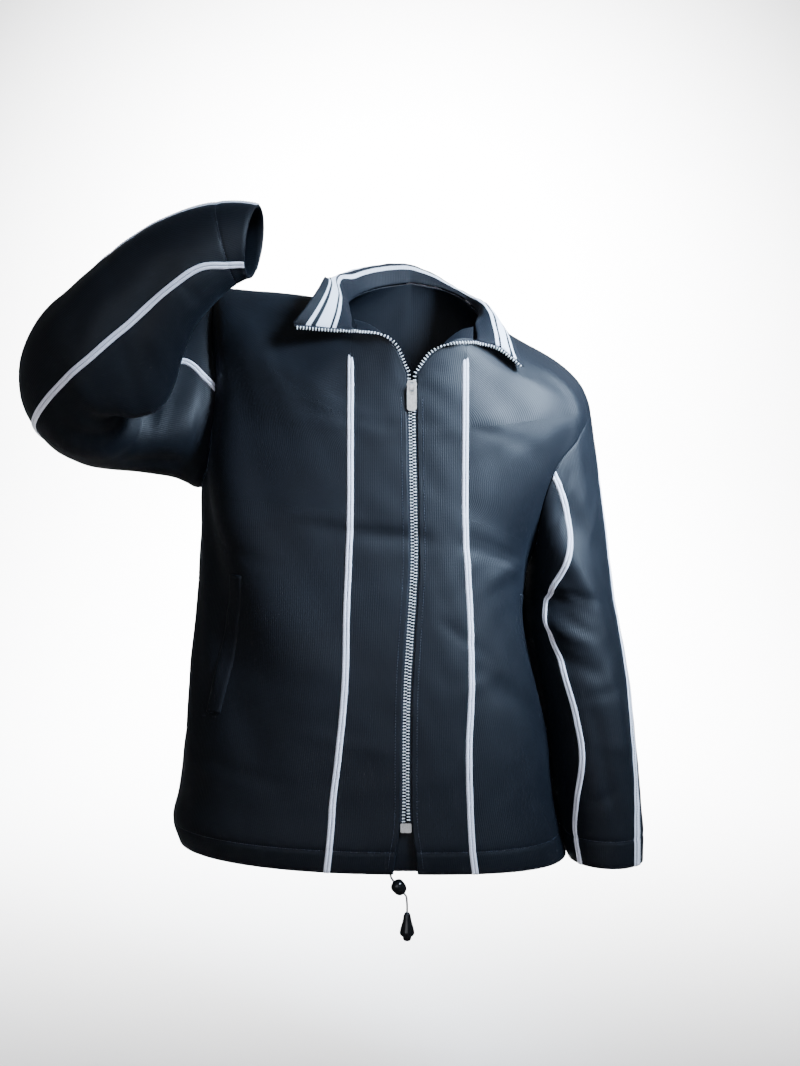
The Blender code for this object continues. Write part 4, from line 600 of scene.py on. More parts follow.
def left_arm_path(along):
    """Middle, outer direction and half sizes of the raised sleeve's rings."""
    if not ARM_TRACK:
        ARM_TRACK.extend(left_arm_track())
    place, track, out, across, marks = ARM_TRACK
    along = np.asarray(along, float)
    middle, outward, axis = (np.stack([np.interp(along, place, values[:, i]) for i in range(3)], axis=-1)
        for values in (track, out, across))
    halves = table_curve(((0.0, *UPPER_HALF), (marks[0], *ELBOW_HALF),
        (0.5 * (marks[0] + marks[1]), *ELBOW_HALF), (marks[1] + 0.06, *FOREARM_HALF),
        (0.5 * (marks[1] + 1.06), *FOREARM_MIDDLE_HALF), (1.0, *CUFF_HALF)), along)
    return middle, unit(outward), unit(axis), halves


def left_arm_base(turn, along):
    """Point of the raised sleeve before its folds."""
    turn, along = as_pair(turn, along)
    middle, out, axis, halves = left_arm_path(along)
    angle = np.radians(LEFT_TOP_TURN - turn)[..., None]
    ring = middle + out * halves[..., :1] * np.cos(angle) + axis * halves[..., 1:] * np.sin(angle)
    blend = ease(along / LEFT_CAP_SHARE)[..., None]
    start = left_arm_path(np.zeros(()))[0]
    carried = armhole(turn, -1) + (middle - start) * CAP_CARRY
    spread = np.where(along < DRAPE[1], DRAPE[3], DRAPE[4])
    drape = np.exp(-(wrapped(turn - DRAPE[0]) / DRAPE[2]) ** 2 - ((along - DRAPE[1]) / spread) ** 2)
    return carried * (1.0 - blend) + ring * blend + drape[..., None] * np.array(DRAPE_DROP)


def right_arm(turn, along):
    """Point of the hanging sleeve with its folds."""
    normal = surface_normal(right_arm_base, turn, along, 1.0)
    quiet = ease(np.asarray(along, float) / 0.12)
    height = fold_relief(turn, along, RIGHT_FOLDS, ARM_TURN_SCALE, ARM_LEVEL_SCALE) * quiet
    return right_arm_base(turn, along) + normal * height[..., None]


def left_arm(turn, along):
    """Point of the raised sleeve with its folds."""
    normal = surface_normal(left_arm_base, turn, along, -1.0)
    quiet = ease(np.asarray(along, float) / 0.12)
    crook = np.exp(-(wrapped(turn - CROOK[0]) / 48.0) ** 2 - ((along - CROOK[1]) / 0.2) ** 2)
    quiet = quiet * (1.0 - 0.85 * crook)
    height = fold_relief(turn, along, LEFT_FOLDS, ARM_TURN_SCALE, ARM_LEVEL_SCALE) * quiet
    return left_arm_base(turn, along) + normal * height[..., None]


# ======== collar and zip lines
def collar(turn, share):
    """Point of the collar's middle sheet, from the neckline seam over the fold to the free edge."""
    turn, share = as_pair(turn, share)
    top = np.ones(turn.shape)
    rise = unit(body_base(turn, top) - body_base(turn, top * 0.95))
    facing = unit(np.cross(body_base(turn + 1.0, top) - body_base(turn - 1.0, top), rise))
    seam = table_curve(NECK, wrapped(turn)) + rise * COLLAR_SEAT[0] + facing * COLLAR_SEAT[1]
    fold, edge = table_curve(COLLAR_FOLD, turn), table_curve(COLLAR_EDGE, turn)
    over = unit(edge - seam) * FOLD_ROUND
    low = np.clip(share / FOLD_SHARE, 0.0, 1.0)[..., None]
    high = np.clip((share - FOLD_SHARE) / (1.0 - FOLD_SHARE), 0.0, 1.0)[..., None]
    stand = hermite(seam, fold, (fold - seam) * 1.1, over, low)
    fall = hermite(fold, edge, over, (edge - fold) * 1.1, high)
    return np.where(share[..., None] < FOLD_SHARE, stand, fall)


def hermite(start, end, leave, arrive, t):
    """Smooth path between two points with given directions at its ends."""
    return ((1 + 2 * t) * (1 - t) ** 2 * start + t * (1 - t) ** 2 * leave
        + t * t * (3 - 2 * t) * end - t * t * (1 - t) * arrive)


def collar_normal(turn, share):
    """Normal of the collar's face that lies against the neck."""
    return surface_normal(collar, turn, share, -1.0)


def between_rows(levels, values, wanted):
    """Read rows of points at wanted levels, straight between the rows that a panel has."""
    return np.stack([np.interp(wanted, levels, values[:, axis]) for axis in range(3)], axis=-1)


def along_row(turns, values, wanted):
    """Read points at wanted turns, straight between the columns that a panel has."""
    order = np.argsort(turns)
    return np.stack([np.interp(wanted, turns[order], values[order, axis]) for axis in range(3)], axis=-1)


def zip_line(side, levels, grid, top):
    """Edge of one front from the zip's foot to the collar's end: points, looks and teeth sides."""
    points, _ = grid
    edge, beside = (-1, -2) if side < 0 else (0, 1)
    closed = np.array(ZIP_LEVELS)
    line = [between_rows(levels, points[:, edge], closed)]
    across = unit(line[0] - between_rows(levels, points[:, beside], closed))
    level_way = ease((closed - 0.84) / 0.05)[:, None]
    toward = [across * (1.0 - level_way) + np.array((-side, 0.0, 0.0)) * level_way]
    open_turns = side * np.array(ZIP_OPEN_TURNS)
    line.append(along_row(top[0], top[1], open_turns))
    tangent = unit(np.gradient(line[1], axis=0))
    face = along_row(top[0], top[2], open_turns)
    upward = unit(-side * np.cross(tangent, face))
    outward = unit(side * np.cross(tangent, upward))
    shares = np.array(ZIP_COLLAR_SHARES)
    soft = len(open_turns) + len(shares) - 2
    end, inside = (COLLAR_START, COLLAR_START + 3.0) if side > 0 else (COLLAR_END, COLLAR_END - 3.0)
    line.append(collar(np.full(shares.shape, end), shares))
    away = unit(line[2] - collar(np.full(shares.shape, inside), shares))
    last = math.atan2(away[0].dot(outward[-1]), away[0].dot(upward[-1]))
    last = last + 2.0 * math.pi if last < 0 else last
    roll = last * ease((np.array(ZIP_OPEN_TURNS) - 6.0) / 38.0)[:, None]
    toward.append(upward * np.cos(roll) + outward * np.sin(roll))
    toward.append(away)
    line, toward = np.concatenate(line), np.concatenate(toward)
    for _ in range(2):
        for values in (line, toward):
            values[-soft - 1:-1] = 0.25 * values[-soft - 2:-2] + 0.5 * values[-soft - 1:-1] + 0.25 * values[-soft:]
    tangent = unit(np.gradient(line, axis=0))
    toward = unit(toward - np.sum(toward * tangent, axis=1, keepdims=True) * tangent)
    looks = unit(-side * np.cross(toward, tangent))
    return line, looks, toward


def round_sections(path, radii, corners):
    """Round sections of the given radii along a path."""
    path, radii = np.array(path, float), np.broadcast_to(radii, len(path))
    tangents = unit(np.gradient(path, axis=0))
    side = unit(np.cross(tangents[0], (0.3, 1.0, 0.2)))
    angle = np.linspace(0.0, 2.0 * np.pi, corners, endpoint=False)[:, None]
    sections = []
    for point, tangent, radius in zip(path, tangents, radii):
        side = unit(side - side.dot(tangent) * tangent)
        other = np.cross(tangent, side)
        sections.append(point + radius * (np.cos(angle) * side + np.sin(angle) * other))
    return np.array(sections)


def pocket_shares(before, top_share, bottom_share, after):
    """Columns of an outer front; two of them are the long edges of the slanted pocket."""
    def shares(level):
        slope = np.clip((POCKET_TOP_LEVEL - level) / (POCKET_TOP_LEVEL - POCKET_BOTTOM_LEVEL), 0.0, 1.0)
        first = top_share + (bottom_share - top_share) * slope
        left = np.array(before) * first
        right = first + POCKET_SHARE + (1.0 - first - POCKET_SHARE) * np.array(after)
        return np.concatenate((left, (first, first + POCKET_SHARE), right))
    return shares


def body_grid(levels, start, end, shares):
    """Grid of points and normals of a body panel; shares gives its columns at each level."""
    turn, level = spread_places(levels, start, end, np.stack([shares(level) for level in levels]))
    points, normals = body(turn, level), body_normal(turn, level)
    across = body(turn[-1] + 1.0, level[-1]) - body(turn[-1] - 1.0, level[-1])
    normals[-1] = unit(np.cross(across, points[-1] - points[-2]))
    return points, normals


def zip_rows(side, levels, grid, top):
    """Line of one side of the zip, with where its tape begins and how deep and far off it runs."""
    points, looks, toward = zip_line(side, levels, grid, top)
    closed, turns, shares = (np.array(rows) for rows in (ZIP_LEVELS, ZIP_OPEN_TURNS, ZIP_COLLAR_SHARES))
    after = len(turns) + len(shares)
    level = np.concatenate((closed, np.ones(after)))
    turn = np.concatenate((np.zeros(len(closed)), turns, np.full(len(shares), 90.0)))
    on_collar = turn > 89.0
    out = ease((level - PART_LEVELS[0]) / (PART_LEVELS[1] - PART_LEVELS[0]))
    start = -TAPE_UNDER + (TAPE_UNDER - 0.002) * ease((level - 0.84) / 0.05) + (0.002 + TAPE_CLEAR) * out
    depth = TAPE_DEPTH + (TAPE_DEPTH_OPEN - TAPE_DEPTH) * ease((turn - 3.0) / 9.0)
    depth = np.where(on_collar, -0.5 * TAPE_THICK, depth)
    shift = PART_SHIFT * out * (1.0 - ease((turn - 8.0) / 10.0))
    return points, looks, toward, start[:, None], depth[:, None], shift[:, None]


# -------- finer form of the finished cloth
STITCH_DEPTH = 0.0008  # how far a row of stitches draws the cloth in
STITCH_SPREAD = 0.0024  # how widely it does
STITCH_RADIUS = 0.00026
SEAM_DIP = 0.0007  # of the cloth beside a plain seam
SEAM_SPREAD = 0.0016  # how widely a plain seam draws the cloth in
FRONT_STITCH_OFFSET = 0.0055  # from a front's edge to its row of stitches
TAPE_STITCH_OFFSET = 0.0036  # from a sleeve tape's middle to its rows of stitches
TAPE_STITCH_RADIUS = 0.00042
FINE_ROW = 0.0052  # metres of cloth between two rows or columns of a sheet
BEAD_RISE = 0.00105  # of the two beads of the piping
TOOTH_PITCH = 0.0034
HEM_STITCH = 0.0425  # level of the hem's row of stitches
CUFF_STITCH = 0.9395  # its place along both sleeves
ZIP_REACH = 0.0044  # how far the zip runs on below its lowest row, to its box
GUARD_FOOT = 0.002  # level of the guard's lower edge
FLOOR = -1.02  # height of the backdrop paper, below the hem cord
COLLAR_HEIGHT = 0.0705  # knitted height of the collar, from its seam over the fold to its edge
COLLAR_STRIPES = ((0.02, 0.025), (0.0295, 0.0475), (0.0525, 0.0575))  # its white stripes, from the seam up

# Small creases of the body, laid over the folds: a line from start to end.
# turn0, level0, turn1, level1, width, height
FINE_FOLDS = (
    (-30, 0.575, 6, 0.56, 0.006, -0.0016),
    (-44, 0.56, -24, 0.59, 0.006, 0.001),
    (24, 0.575, 56, 0.56, 0.0055, -0.0014),
    (30, 0.545, 60, 0.52, 0.005, 0.0012),
    (-58, 0.53, -34, 0.5, 0.007, -0.0012),
    (-70, 0.44, -40, 0.4, 0.008, 0.0012),
    (-26, 0.24, -6, 0.21, 0.007, 0.0009),
    (-60, 0.19, -30, 0.15, 0.0075, -0.001),
    (12, 0.42, 40, 0.35, 0.006, -0.0013),
    (18, 0.3, 36, 0.33, 0.007, 0.0009),
    (60, 0.62, 74, 0.5, 0.0065, -0.0014),
    (66, 0.3, 80, 0.12, 0.007, 0.0012),
    (44, 0.13, 66, 0.1, 0.008, -0.0009),
    (-80, 0.33, -70, 0.1, 0.0085, -0.0013),
    (-14, 0.78, -40, 0.72, 0.009, 0.0009),
    (16, 0.8, 44, 0.72, 0.0085, -0.0009),
    (-52, 0.88, -36, 0.8, 0.0075, -0.0011),
    (40, 0.9, 56, 0.8, 0.007, 0.001),
    (118, 0.62, 150, 0.48, 0.0075, -0.0014),
    (140, 0.66, 196, 0.6, 0.008, 0.001),
    (164, 0.52, 214, 0.47, 0.007, -0.0014),
    (190, 0.42, 236, 0.36, 0.0075, 0.0012),
    (122, 0.3, 160, 0.24, 0.008, -0.0011),
    (206, 0.22, 250, 0.17, 0.008, -0.001),
    (150, 0.8, 176, 0.7, 0.01, 0.001),
    (186, 0.84, 222, 0.74, 0.01, -0.001),
)
# Small creases of the sleeves.
# turn0, along0, turn1, along1, width, height
RIGHT_FINE_FOLDS = (
    (70, 0.05, 110, 0.16, 0.0065, -0.0013),
    (20, 0.12, 60, 0.26, 0.007, 0.0011),
    (120, 0.36, 70, 0.4, 0.005, -0.0018),
    (130, 0.4, 76, 0.455, 0.005, 0.0016),
    (140, 0.47, 84, 0.515, 0.005, -0.0016),
    (110, 0.62, 60, 0.6, 0.006, -0.0013),
    (100, 0.72, 40, 0.74, 0.0065, 0.0011),
    (120, 0.86, 60, 0.82, 0.007, -0.0012),
    (300, 0.2, 340, 0.34, 0.007, -0.0012),
    (250, 0.36, 310, 0.42, 0.006, 0.0013),
    (240, 0.48, 320, 0.56, 0.006, -0.0014),
    (230, 0.7, 300, 0.72, 0.007, 0.0011),
    (200, 0.88, 280, 0.84, 0.007, -0.001),
)
LEFT_FINE_FOLDS = (
    (80, 0.06, 130, 0.1, 0.0065, -0.0013),
    (60, 0.14, 110, 0.22, 0.0065, 0.0012),
    (100, 0.27, 150, 0.31, 0.006, -0.0014),
    (120, 0.4, 190, 0.47, 0.0065, -0.0014),
    (140, 0.52, 210, 0.56, 0.0065, 0.0013),
    (120, 0.6, 180, 0.64, 0.006, -0.0014),
    (110, 0.7, 170, 0.69, 0.006, 0.0012),
    (130, 0.82, 190, 0.8, 0.006, -0.0012),
    (200, 0.34, 250, 0.36, 0.007, 0.0011),
    (220, 0.7, 290, 0.74, 0.007, -0.0012),
    (330, 0.66, 380, 0.7, 0.0065, 0.0011),
    (320, 0.84, 370, 0.8, 0.006, -0.0011),
    (240, 0.1, 280, 0.18, 0.008, -0.0012),
)


def ripple(first, second, size):
    """Slight unevenness of worn cloth, the same at every run."""
    return size * (np.sin(first * 2.1 + 3.0 * np.sin(second * 1.3)) * np.sin(second * 2.6 + 1.7 * np.sin(first * 0.9))
        + 0.5 * np.sin(first * 4.7 + second * 3.1 + 1.0))


def body_cloth(turn, level):
    """Point of the finished body, with its small creases and the draw of the hem's stitches."""
    turn, level = as_pair(turn, level)
    height = settings().cloth.crease * fold_relief(turn, level, FINE_FOLDS, TURN_SCALE, LEVEL_SCALE)
    height = height + ripple(turn * TURN_SCALE / 0.03, level * LEVEL_SCALE / 0.04, 0.00032)
    height = height * ease((1.0 - level) / 0.08) * ease(level / 0.1)
    height = height - STITCH_DEPTH * np.exp(-((level - HEM_STITCH) * LEVEL_SCALE / STITCH_SPREAD) ** 2)
    return body(turn, level) + body_normal(turn, level) * height[..., None]


def right_cloth(turn, along):
    """Point of the finished hanging sleeve."""
    return sleeve_cloth(right_arm, 1.0, RIGHT_FINE_FOLDS, turn, along)


def left_cloth(turn, along):
    """Point of the finished raised sleeve."""
    return sleeve_cloth(left_arm, -1.0, LEFT_FINE_FOLDS, turn, along)


def sleeve_cloth(arm, sign, folds, turn, along):
    """Point of a finished sleeve, with its small creases and the draw of its cuff's stitches."""
    turn, along = as_pair(turn, along)
    height = settings().cloth.crease * fold_relief(turn, along, folds, ARM_TURN_SCALE, ARM_LEVEL_SCALE)
    height = height + ripple(turn * ARM_TURN_SCALE / 0.026, along * ARM_LEVEL_SCALE / 0.035, 0.0003)
    height = height * ease(along / 0.08) * ease((1.0 - along) / 0.1)
    height = height - STITCH_DEPTH * np.exp(-((along - CUFF_STITCH) * ARM_LEVEL_SCALE / STITCH_SPREAD) ** 2)
    return arm(turn, along) + surface_normal(arm, turn, along, sign) * height[..., None]


def armhole(turn, side):
    """Point of an armhole's edge on the finished body, smooth all round."""
    return body(*armhole_place(np.asarray(turn, float), side))


SLEEVES = (("left", left_cloth, -1.0, LEFT_TRIMS), ("right", right_cloth, 1.0, RIGHT_TRIMS))


# ======== meshes
def add_piece(name, points, faces, lengths, finish, nodes=()):
    """Make one piece of the jacket; lengths holds each point's place on the cloth in metres."""
    mesh = bpy.data.meshes.new(name)
    mesh.from_pydata(points.tolist(), [], faces)
    work = bmesh.new()
    work.from_mesh(mesh)
    bmesh.ops.recalc_face_normals(work, faces=work.faces)
    work.to_mesh(mesh)
    work.free()
    if lengths is not None:
        corners = np.empty(len(mesh.loops), dtype=np.int32)
        mesh.loops.foreach_get("vertex_index", corners)
        layer = mesh.uv_layers.new(name="cloth_metres")
        layer.data.foreach_set("uv", np.asarray(lengths, float)[corners].ravel())
    mesh.materials.append(material(finish))
    mesh.shade_smooth()
    piece = link_object(name, mesh)
    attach(piece, BODY)
    if nodes:
        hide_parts(*nodes)
    return piece


def link_object(name, data):
    """New object in the scene with this name and data."""
    item = bpy.data.objects.new(name, data)
    bpy.context.scene.collection.objects.link(item)
    return item


def tube_faces(rings, corners):
    """Side faces and both end faces of rings of corners, one after another."""
    sides = [(i * corners + j, i * corners + k, (i + 1) * corners + k, (i + 1) * corners + j)
        for i in range(rings - 1) for j, k in zip(range(corners), (*range(1, corners), 0))]
    ends = [tuple(range(corners - 1, -1, -1)), tuple(range((rings - 1) * corners, rings * corners))]
    return sides, ends


def repeated(faces, corners, count):
    """The faces of one small piece for each of its copies, which have this many corners each."""
    return [tuple(corner + copy * corners for corner in face) for copy in range(count) for face in faces]


def grid_lengths(points):
    """Distances in metres across and along a grid of points."""
    across = np.linalg.norm(np.diff(points, axis=1), axis=2)
    along = np.linalg.norm(np.diff(points, axis=0), axis=2)
    u = np.concatenate((np.zeros((len(points), 1)), np.cumsum(across, axis=1)), axis=1)
    v = np.concatenate((np.zeros((1, points.shape[1])), np.cumsum(along, axis=0)), axis=0)
    u = u - u[:, u.shape[1] // 2:u.shape[1] // 2 + 1]
    return np.stack((u, v), axis=-1)


def add_sheet(name, outer, inner, finish, nodes=(), lengths=None, rounding=0.35):
    """Close two matching grids of points into one sheet of cloth with a rounded edge."""
    rows, columns = outer.shape[:2]
    count = rows * columns
    index = np.arange(count).reshape(rows, columns)
    quads = np.stack((index[:-1, :-1], index[:-1, 1:], index[1:, 1:], index[1:, :-1]), axis=-1).reshape(-1, 4)
    rim = np.concatenate((index[0, :], index[1:, -1], index[-1, -2::-1], index[-2:0:-1, 0]))
    flat_outer, flat_inner = outer.reshape(-1, 3), inner.reshape(-1, 3)
    beside = np.empty_like(outer)
    beside[1:-1, 1:-1] = outer[1:-1, 1:-1]
    beside[0], beside[-1] = outer[1], outer[-2]
    beside[:, 0], beside[:, -1] = outer[:, 1], outer[:, -2]
    thick = np.linalg.norm(flat_outer - flat_inner, axis=1, keepdims=True)
    outward = unit(flat_outer - beside.reshape(-1, 3)) * thick * rounding
    middle = (0.5 * (flat_outer + flat_inner) + outward)[rim]
    points = np.concatenate((flat_outer, flat_inner, middle))
    faces = quads.tolist() + (quads[:, ::-1] + count).tolist()
    following = np.roll(np.arange(len(rim)), -1)
    for first, second in zip(range(len(rim)), following):
        here, there, mid, after = rim[first], rim[second], 2 * count + first, 2 * count + second
        faces.append((int(there), int(here), int(mid), int(after)))
        faces.append((int(after), int(mid), int(count + here), int(count + there)))
    lengths = grid_lengths(outer) if lengths is None else lengths
    lengths = lengths.reshape(-1, 2)
    return add_piece(name, points, faces, np.concatenate((lengths, lengths, lengths[rim])), finish, nodes)


def spread_places(levels, start, end, shares):
    """Turns and levels of a grid between two edges, whose columns lie at these shares."""
    turn = start[:, None] + (end - start)[:, None] * shares
    return turn, np.repeat(levels[:, None], turn.shape[1], axis=1)


def fine_shares(width):
    """Columns across a panel: close together at its seams, even between them."""
    near = np.array((0.0, 0.0009, 0.002, 0.0034, 0.005)) / width
    last = 1.0 - near[::-1]
    count = max(int(round(width / FINE_ROW)), 3)
    return np.concatenate((near, np.linspace(near[-1], last[0], count + 1)[1:-1], last))


def seam_dip(shares, width, start, end):
    """How far the cloth is drawn in beside its plain seams."""
    dip = np.zeros(len(shares))
    if start:
        dip = dip + np.exp(-(shares * width / SEAM_SPREAD) ** 2)
    if end:
        dip = dip + np.exp(-((1.0 - shares) * width / SEAM_SPREAD) ** 2)
    return dip * SEAM_DIP


def fine_levels():
    """Levels of the rows of a body panel."""
    low = np.linspace(0.0, ARMHOLE_MIDDLE - ARMHOLE_REACH, 74)
    stitched = HEM_STITCH + np.array((-0.0065, -0.0035, -0.0015, 0.0, 0.0015, 0.0035))
    low = low[np.abs(low - HEM_STITCH) > 0.0062]
    hole = ARMHOLE_MIDDLE + ARMHOLE_REACH * np.cos(np.radians(np.linspace(180.0, 0.0, 33)))
    high = np.linspace(ARMHOLE_MIDDLE + ARMHOLE_REACH, 1.0, 30)
    return np.sort(np.concatenate((low, stitched, hole[1:], high[1:])))


def resample(points, distances):
    """Points at even distances along a line, on a smooth curve through its own points."""
    length = distances_along(points[:, :3])
    return table_curve(np.concatenate((length[:, None], points), axis=1), distances), length[-1]


def make_panel(name, levels, start, end, width, dips, nodes):
    """Make one panel of the body from its edges, in turns at each level."""
    shares = fine_shares(width)
    turn, level = spread_places(levels, start, end, shares)
    normals = surface_normal(body_cloth, turn, level, 1.0)
    outer = body_cloth(turn, level) - normals * seam_dip(shares, width, *dips)[None, :, None]
    thick = HEM_WALL + (CLOTH - HEM_WALL) * ease((levels - HEM_LEVEL) / 0.008)
    inner = outer - normals * thick[:, None, None]
    return add_sheet(name, outer, inner, "polyester_double_knit", nodes), outer


def sheet_facts(outer):
    """Flat width, length and area of the cut of a sheet, in metres."""
    across = np.linalg.norm(np.diff(outer, axis=1), axis=2).sum(axis=1)
    along = np.linalg.norm(np.diff(outer, axis=0), axis=2).sum(axis=0)
    steps = np.diff(outer, axis=1)[:-1], np.diff(outer, axis=0)[:, :-1]
    area = np.linalg.norm(np.cross(*steps), axis=2).sum()
    width = float(across.max())
    length = max(float(np.median(along)), float(area) / (0.97 * width))
    return (round(width, 3), round(length, 3)), float(np.clip(area, 0.301 * width * length, 0.999 * width * length))


def make_fronts_and_back():
    """Make the four panels of the fronts and the back."""
    levels = fine_levels()
    left_seam, right_seam = seam_turn(levels, 0), seam_turn(levels, 2)
    left_edge, right_edge = front_edge(levels, -1), front_edge(levels, 1)
    plans = (
        ("front_left_inner", left_seam, left_edge, 0.07, (False, False)),
        ("front_left_outer", left_seam, left_side(levels, 0), 0.22, (False, True)),
        ("front_right_inner", right_edge, right_seam, 0.062, (False, False)),
        ("front_right_outer", right_seam, right_side(levels, 0), 0.17, (False, True)),
        ("back", right_side(levels, 1), left_side(levels, 1) + 360.0, 0.56, (True, True)),
    )
    for name, start, end, width, dips in plans:
        piece, outer = make_panel("cloth_" + name, levels, start, end, width, dips, (name,))
        flat, area = sheet_facts(outer)


# ======== sleeves
def sleeve_rows():
    """Places of the rows along a sleeve."""
    rows = steps_to_one(96)
    stitched = CUFF_STITCH + np.array((-0.007, -0.004, -0.0018, 0.0, 0.0018, 0.004, 0.007))
    rows = rows[np.abs(rows - CUFF_STITCH) > 0.0075]
    return np.sort(np.concatenate((rows, stitched, (0.002, 0.005))))


def make_sleeve(side):
    """Make the upper and the under piece of one sleeve."""
    name, surface, sign, trims = SLEEVES[0 if side < 0 else 1]
    along = sleeve_rows()
    _, front, behind = np.moveaxis(table_curve(trims, along), -1, 0)
    for piece_name, start, end, width in (("upper", behind, front, 0.23), ("under", front, behind + 360.0, 0.17)):
        turn, rows = spread_places(along, start, end, fine_shares(width))
        points, normals = surface(turn, rows), surface_normal(surface, turn, rows, sign)
        drawn = SEAM_DIP * np.exp(-(along * ARM_LEVEL_SCALE / SEAM_SPREAD) ** 2)[:, None, None]
        outer = points - normals * drawn
        thick = CLOTH + (HEM_WALL - CLOTH) * ease((along - CUFF_SHARE + 0.006) / 0.008)
        inner = outer - normals * thick[:, None, None]
        node = f"sleeve_{name}_{piece_name}"
        piece = add_sheet("cloth_" + node, outer, inner, "polyester_double_knit", (node,))
        flat, area = sheet_facts(outer)


# ======== collar and facings
def make_collar():
    """Make the folded collar; its stripes are knitted in along its height."""
    turns = np.linspace(COLLAR_START, COLLAR_END, 130)
    shares = np.concatenate((np.linspace(0.0, 0.28, 7), np.linspace(0.3, 0.46, 11), np.linspace(0.49, 1.0, 16)))
    turn, share = np.meshgrid(turns, shares)
    points = collar(turn, share)
    normals = collar_normal(turn, share)
    wave = ripple(turn / 9.0, share * 3.0, 0.0004) * ease(share / 0.3)
    points = points + normals * wave[..., None]
    half = 0.5 * COLLAR_WALL
    outer, inner = points + normals * half, points - normals * half
    lengths = grid_lengths(points)
    # behind the neck the stand is low, so the stripes reach over its fold
    reach = ease((turn - 95.0) / 30.0) * ease((262.0 - turn) / 27.0)
    lengths[..., 1] = share * COLLAR_HEIGHT + 0.0075 * reach * np.sin(np.pi * share ** 0.64)
    piece = add_sheet("collar_knit", outer, inner, "striped_collar_knit", ("collar",), lengths)
    flat, area = sheet_facts(points)


def make_facing(side):
    """Make the turned-in triangle between the collar and an unzipped edge."""
    name = "facing_left" if side < 0 else "facing_right"
    turns = side * np.linspace(FACING_START, SEAM_TURN - 2.5, 16)
    corner = table_curve(NECK, side * FACING_TOP_TURN) - table_curve(NECK, side * SEAM_TURN)
    behind = body_normal(turns, np.ones(16)) * FACING_BEHIND
    foot = table_curve(NECK, turns) - behind + unit(corner) * 0.0002
    share = steps_to_one(16)[:, None]
    height = FACING_MIN + (np.linalg.norm(corner) * 0.94 - FACING_MIN) * share
    points = np.stack([foot + unit(corner) * height * part for part in steps_to_one(9)])
    across = unit(points[0, -1] - points[0, 0])
    normal = unit(np.cross(across, unit(corner)))
    inner = points - normal * FACING_THICK * np.sign(-normal[1])
    piece = add_sheet(f"cloth_{name}", points, inner, "polyester_double_knit", (name,))
    flat, area = sheet_facts(points)


# ======== trims laid on the cloth
def bead_profile(half):
    """Offsets and heights across the piping: a thin flange, two round beads and a groove between."""
    offsets = np.linspace(-1.0, 1.0, 25)
    beads = np.sqrt(np.clip(1.0 - ((np.abs(offsets) - 0.45) / 0.43) ** 2, 0.0, 1.0))
    heights = 0.00035 + BEAD_RISE * beads
    heights[[0, -1]] = 0.0001
    return offsets * half, heights


def tape_profile(half):
    """Offsets and heights across a flat tape with soft edges."""
    offsets = np.linspace(-1.0, 1.0, 15)
    heights = TAPE_RISE * (1.0 - np.abs(offsets) ** 8) + 0.00015
    return offsets * half, heights


def make_ribbon(name, surface, sign, turn, level, profile, finish, nodes, sink=0.0):
    """Lay a ribbon of the given profile along a line of a surface, given in turns and levels."""
    offsets, heights = profile
    points = surface(turn, level)
    tangent = unit(np.gradient(points, axis=0))
    wide = surface(turn + 0.5, level) - surface(turn - 0.5, level)
    per_degree = np.linalg.norm(wide, axis=1)
    square = np.linalg.norm(np.cross(tangent, unit(wide)), axis=1)
    turns = turn[:, None] + offsets[None, :] / (per_degree * np.maximum(square, 0.3))[:, None]
    levels = np.repeat(level[:, None], len(offsets), axis=1)
    normals = surface_normal(surface, turns, levels, sign)
    cloth = surface(turns, levels)
    sunk = cloth - normals * np.broadcast_to(sink, level.shape)[:, None, None]
    outer, inner = sunk + normals * heights[None, :, None], sunk - normals * 0.0004
    return add_sheet(name, outer, inner, finish, nodes, rounding=0.0)


def make_piping():
    """Make the piping of the princess seams and of the sleeves' seams."""
    profile = bead_profile(0.5 * settings().trim.piping_width)
    for name, column, top in (("left", 0, PIPING_TOP_LEVELS[0]), ("right", 2, PIPING_TOP_LEVELS[1])):
        level = np.linspace(0.0, top, 170)
        sink = 0.002 * ease((level - top + 0.016) / 0.016)
        make_ribbon(f"piping_cord_front_{name}", body_cloth, 1.0, seam_turn(level, column), level, profile,
            "knitted_piping", (f"piping_front_{name}",), sink)
    for name, surface, sign, trims in SLEEVES:
        along = np.linspace(0.004, 1.0, 150)
        _, front, behind = np.moveaxis(table_curve(trims, along), -1, 0)
        for seam, turn in (("front", front), ("back", behind)):
            make_ribbon(f"piping_cord_sleeve_{name}_{seam}", surface, sign, turn, along, profile,
                "knitted_piping", (f"piping_sleeve_{name}_{seam}",))


def make_sleeve_tapes():
    """Make the double-striped tape down the outer side of each sleeve."""
    profile = tape_profile(0.5 * settings().trim.tape_width)
    for name, surface, sign, trims in SLEEVES:
        along = np.linspace(0.004, 1.0, 150)
        middle = table_curve(trims, along)[:, 0]
        make_ribbon(f"striped_tape_{name}", surface, sign, middle, along, profile, "double_striped_tape",
            (f"sleeve_tape_{name}",))


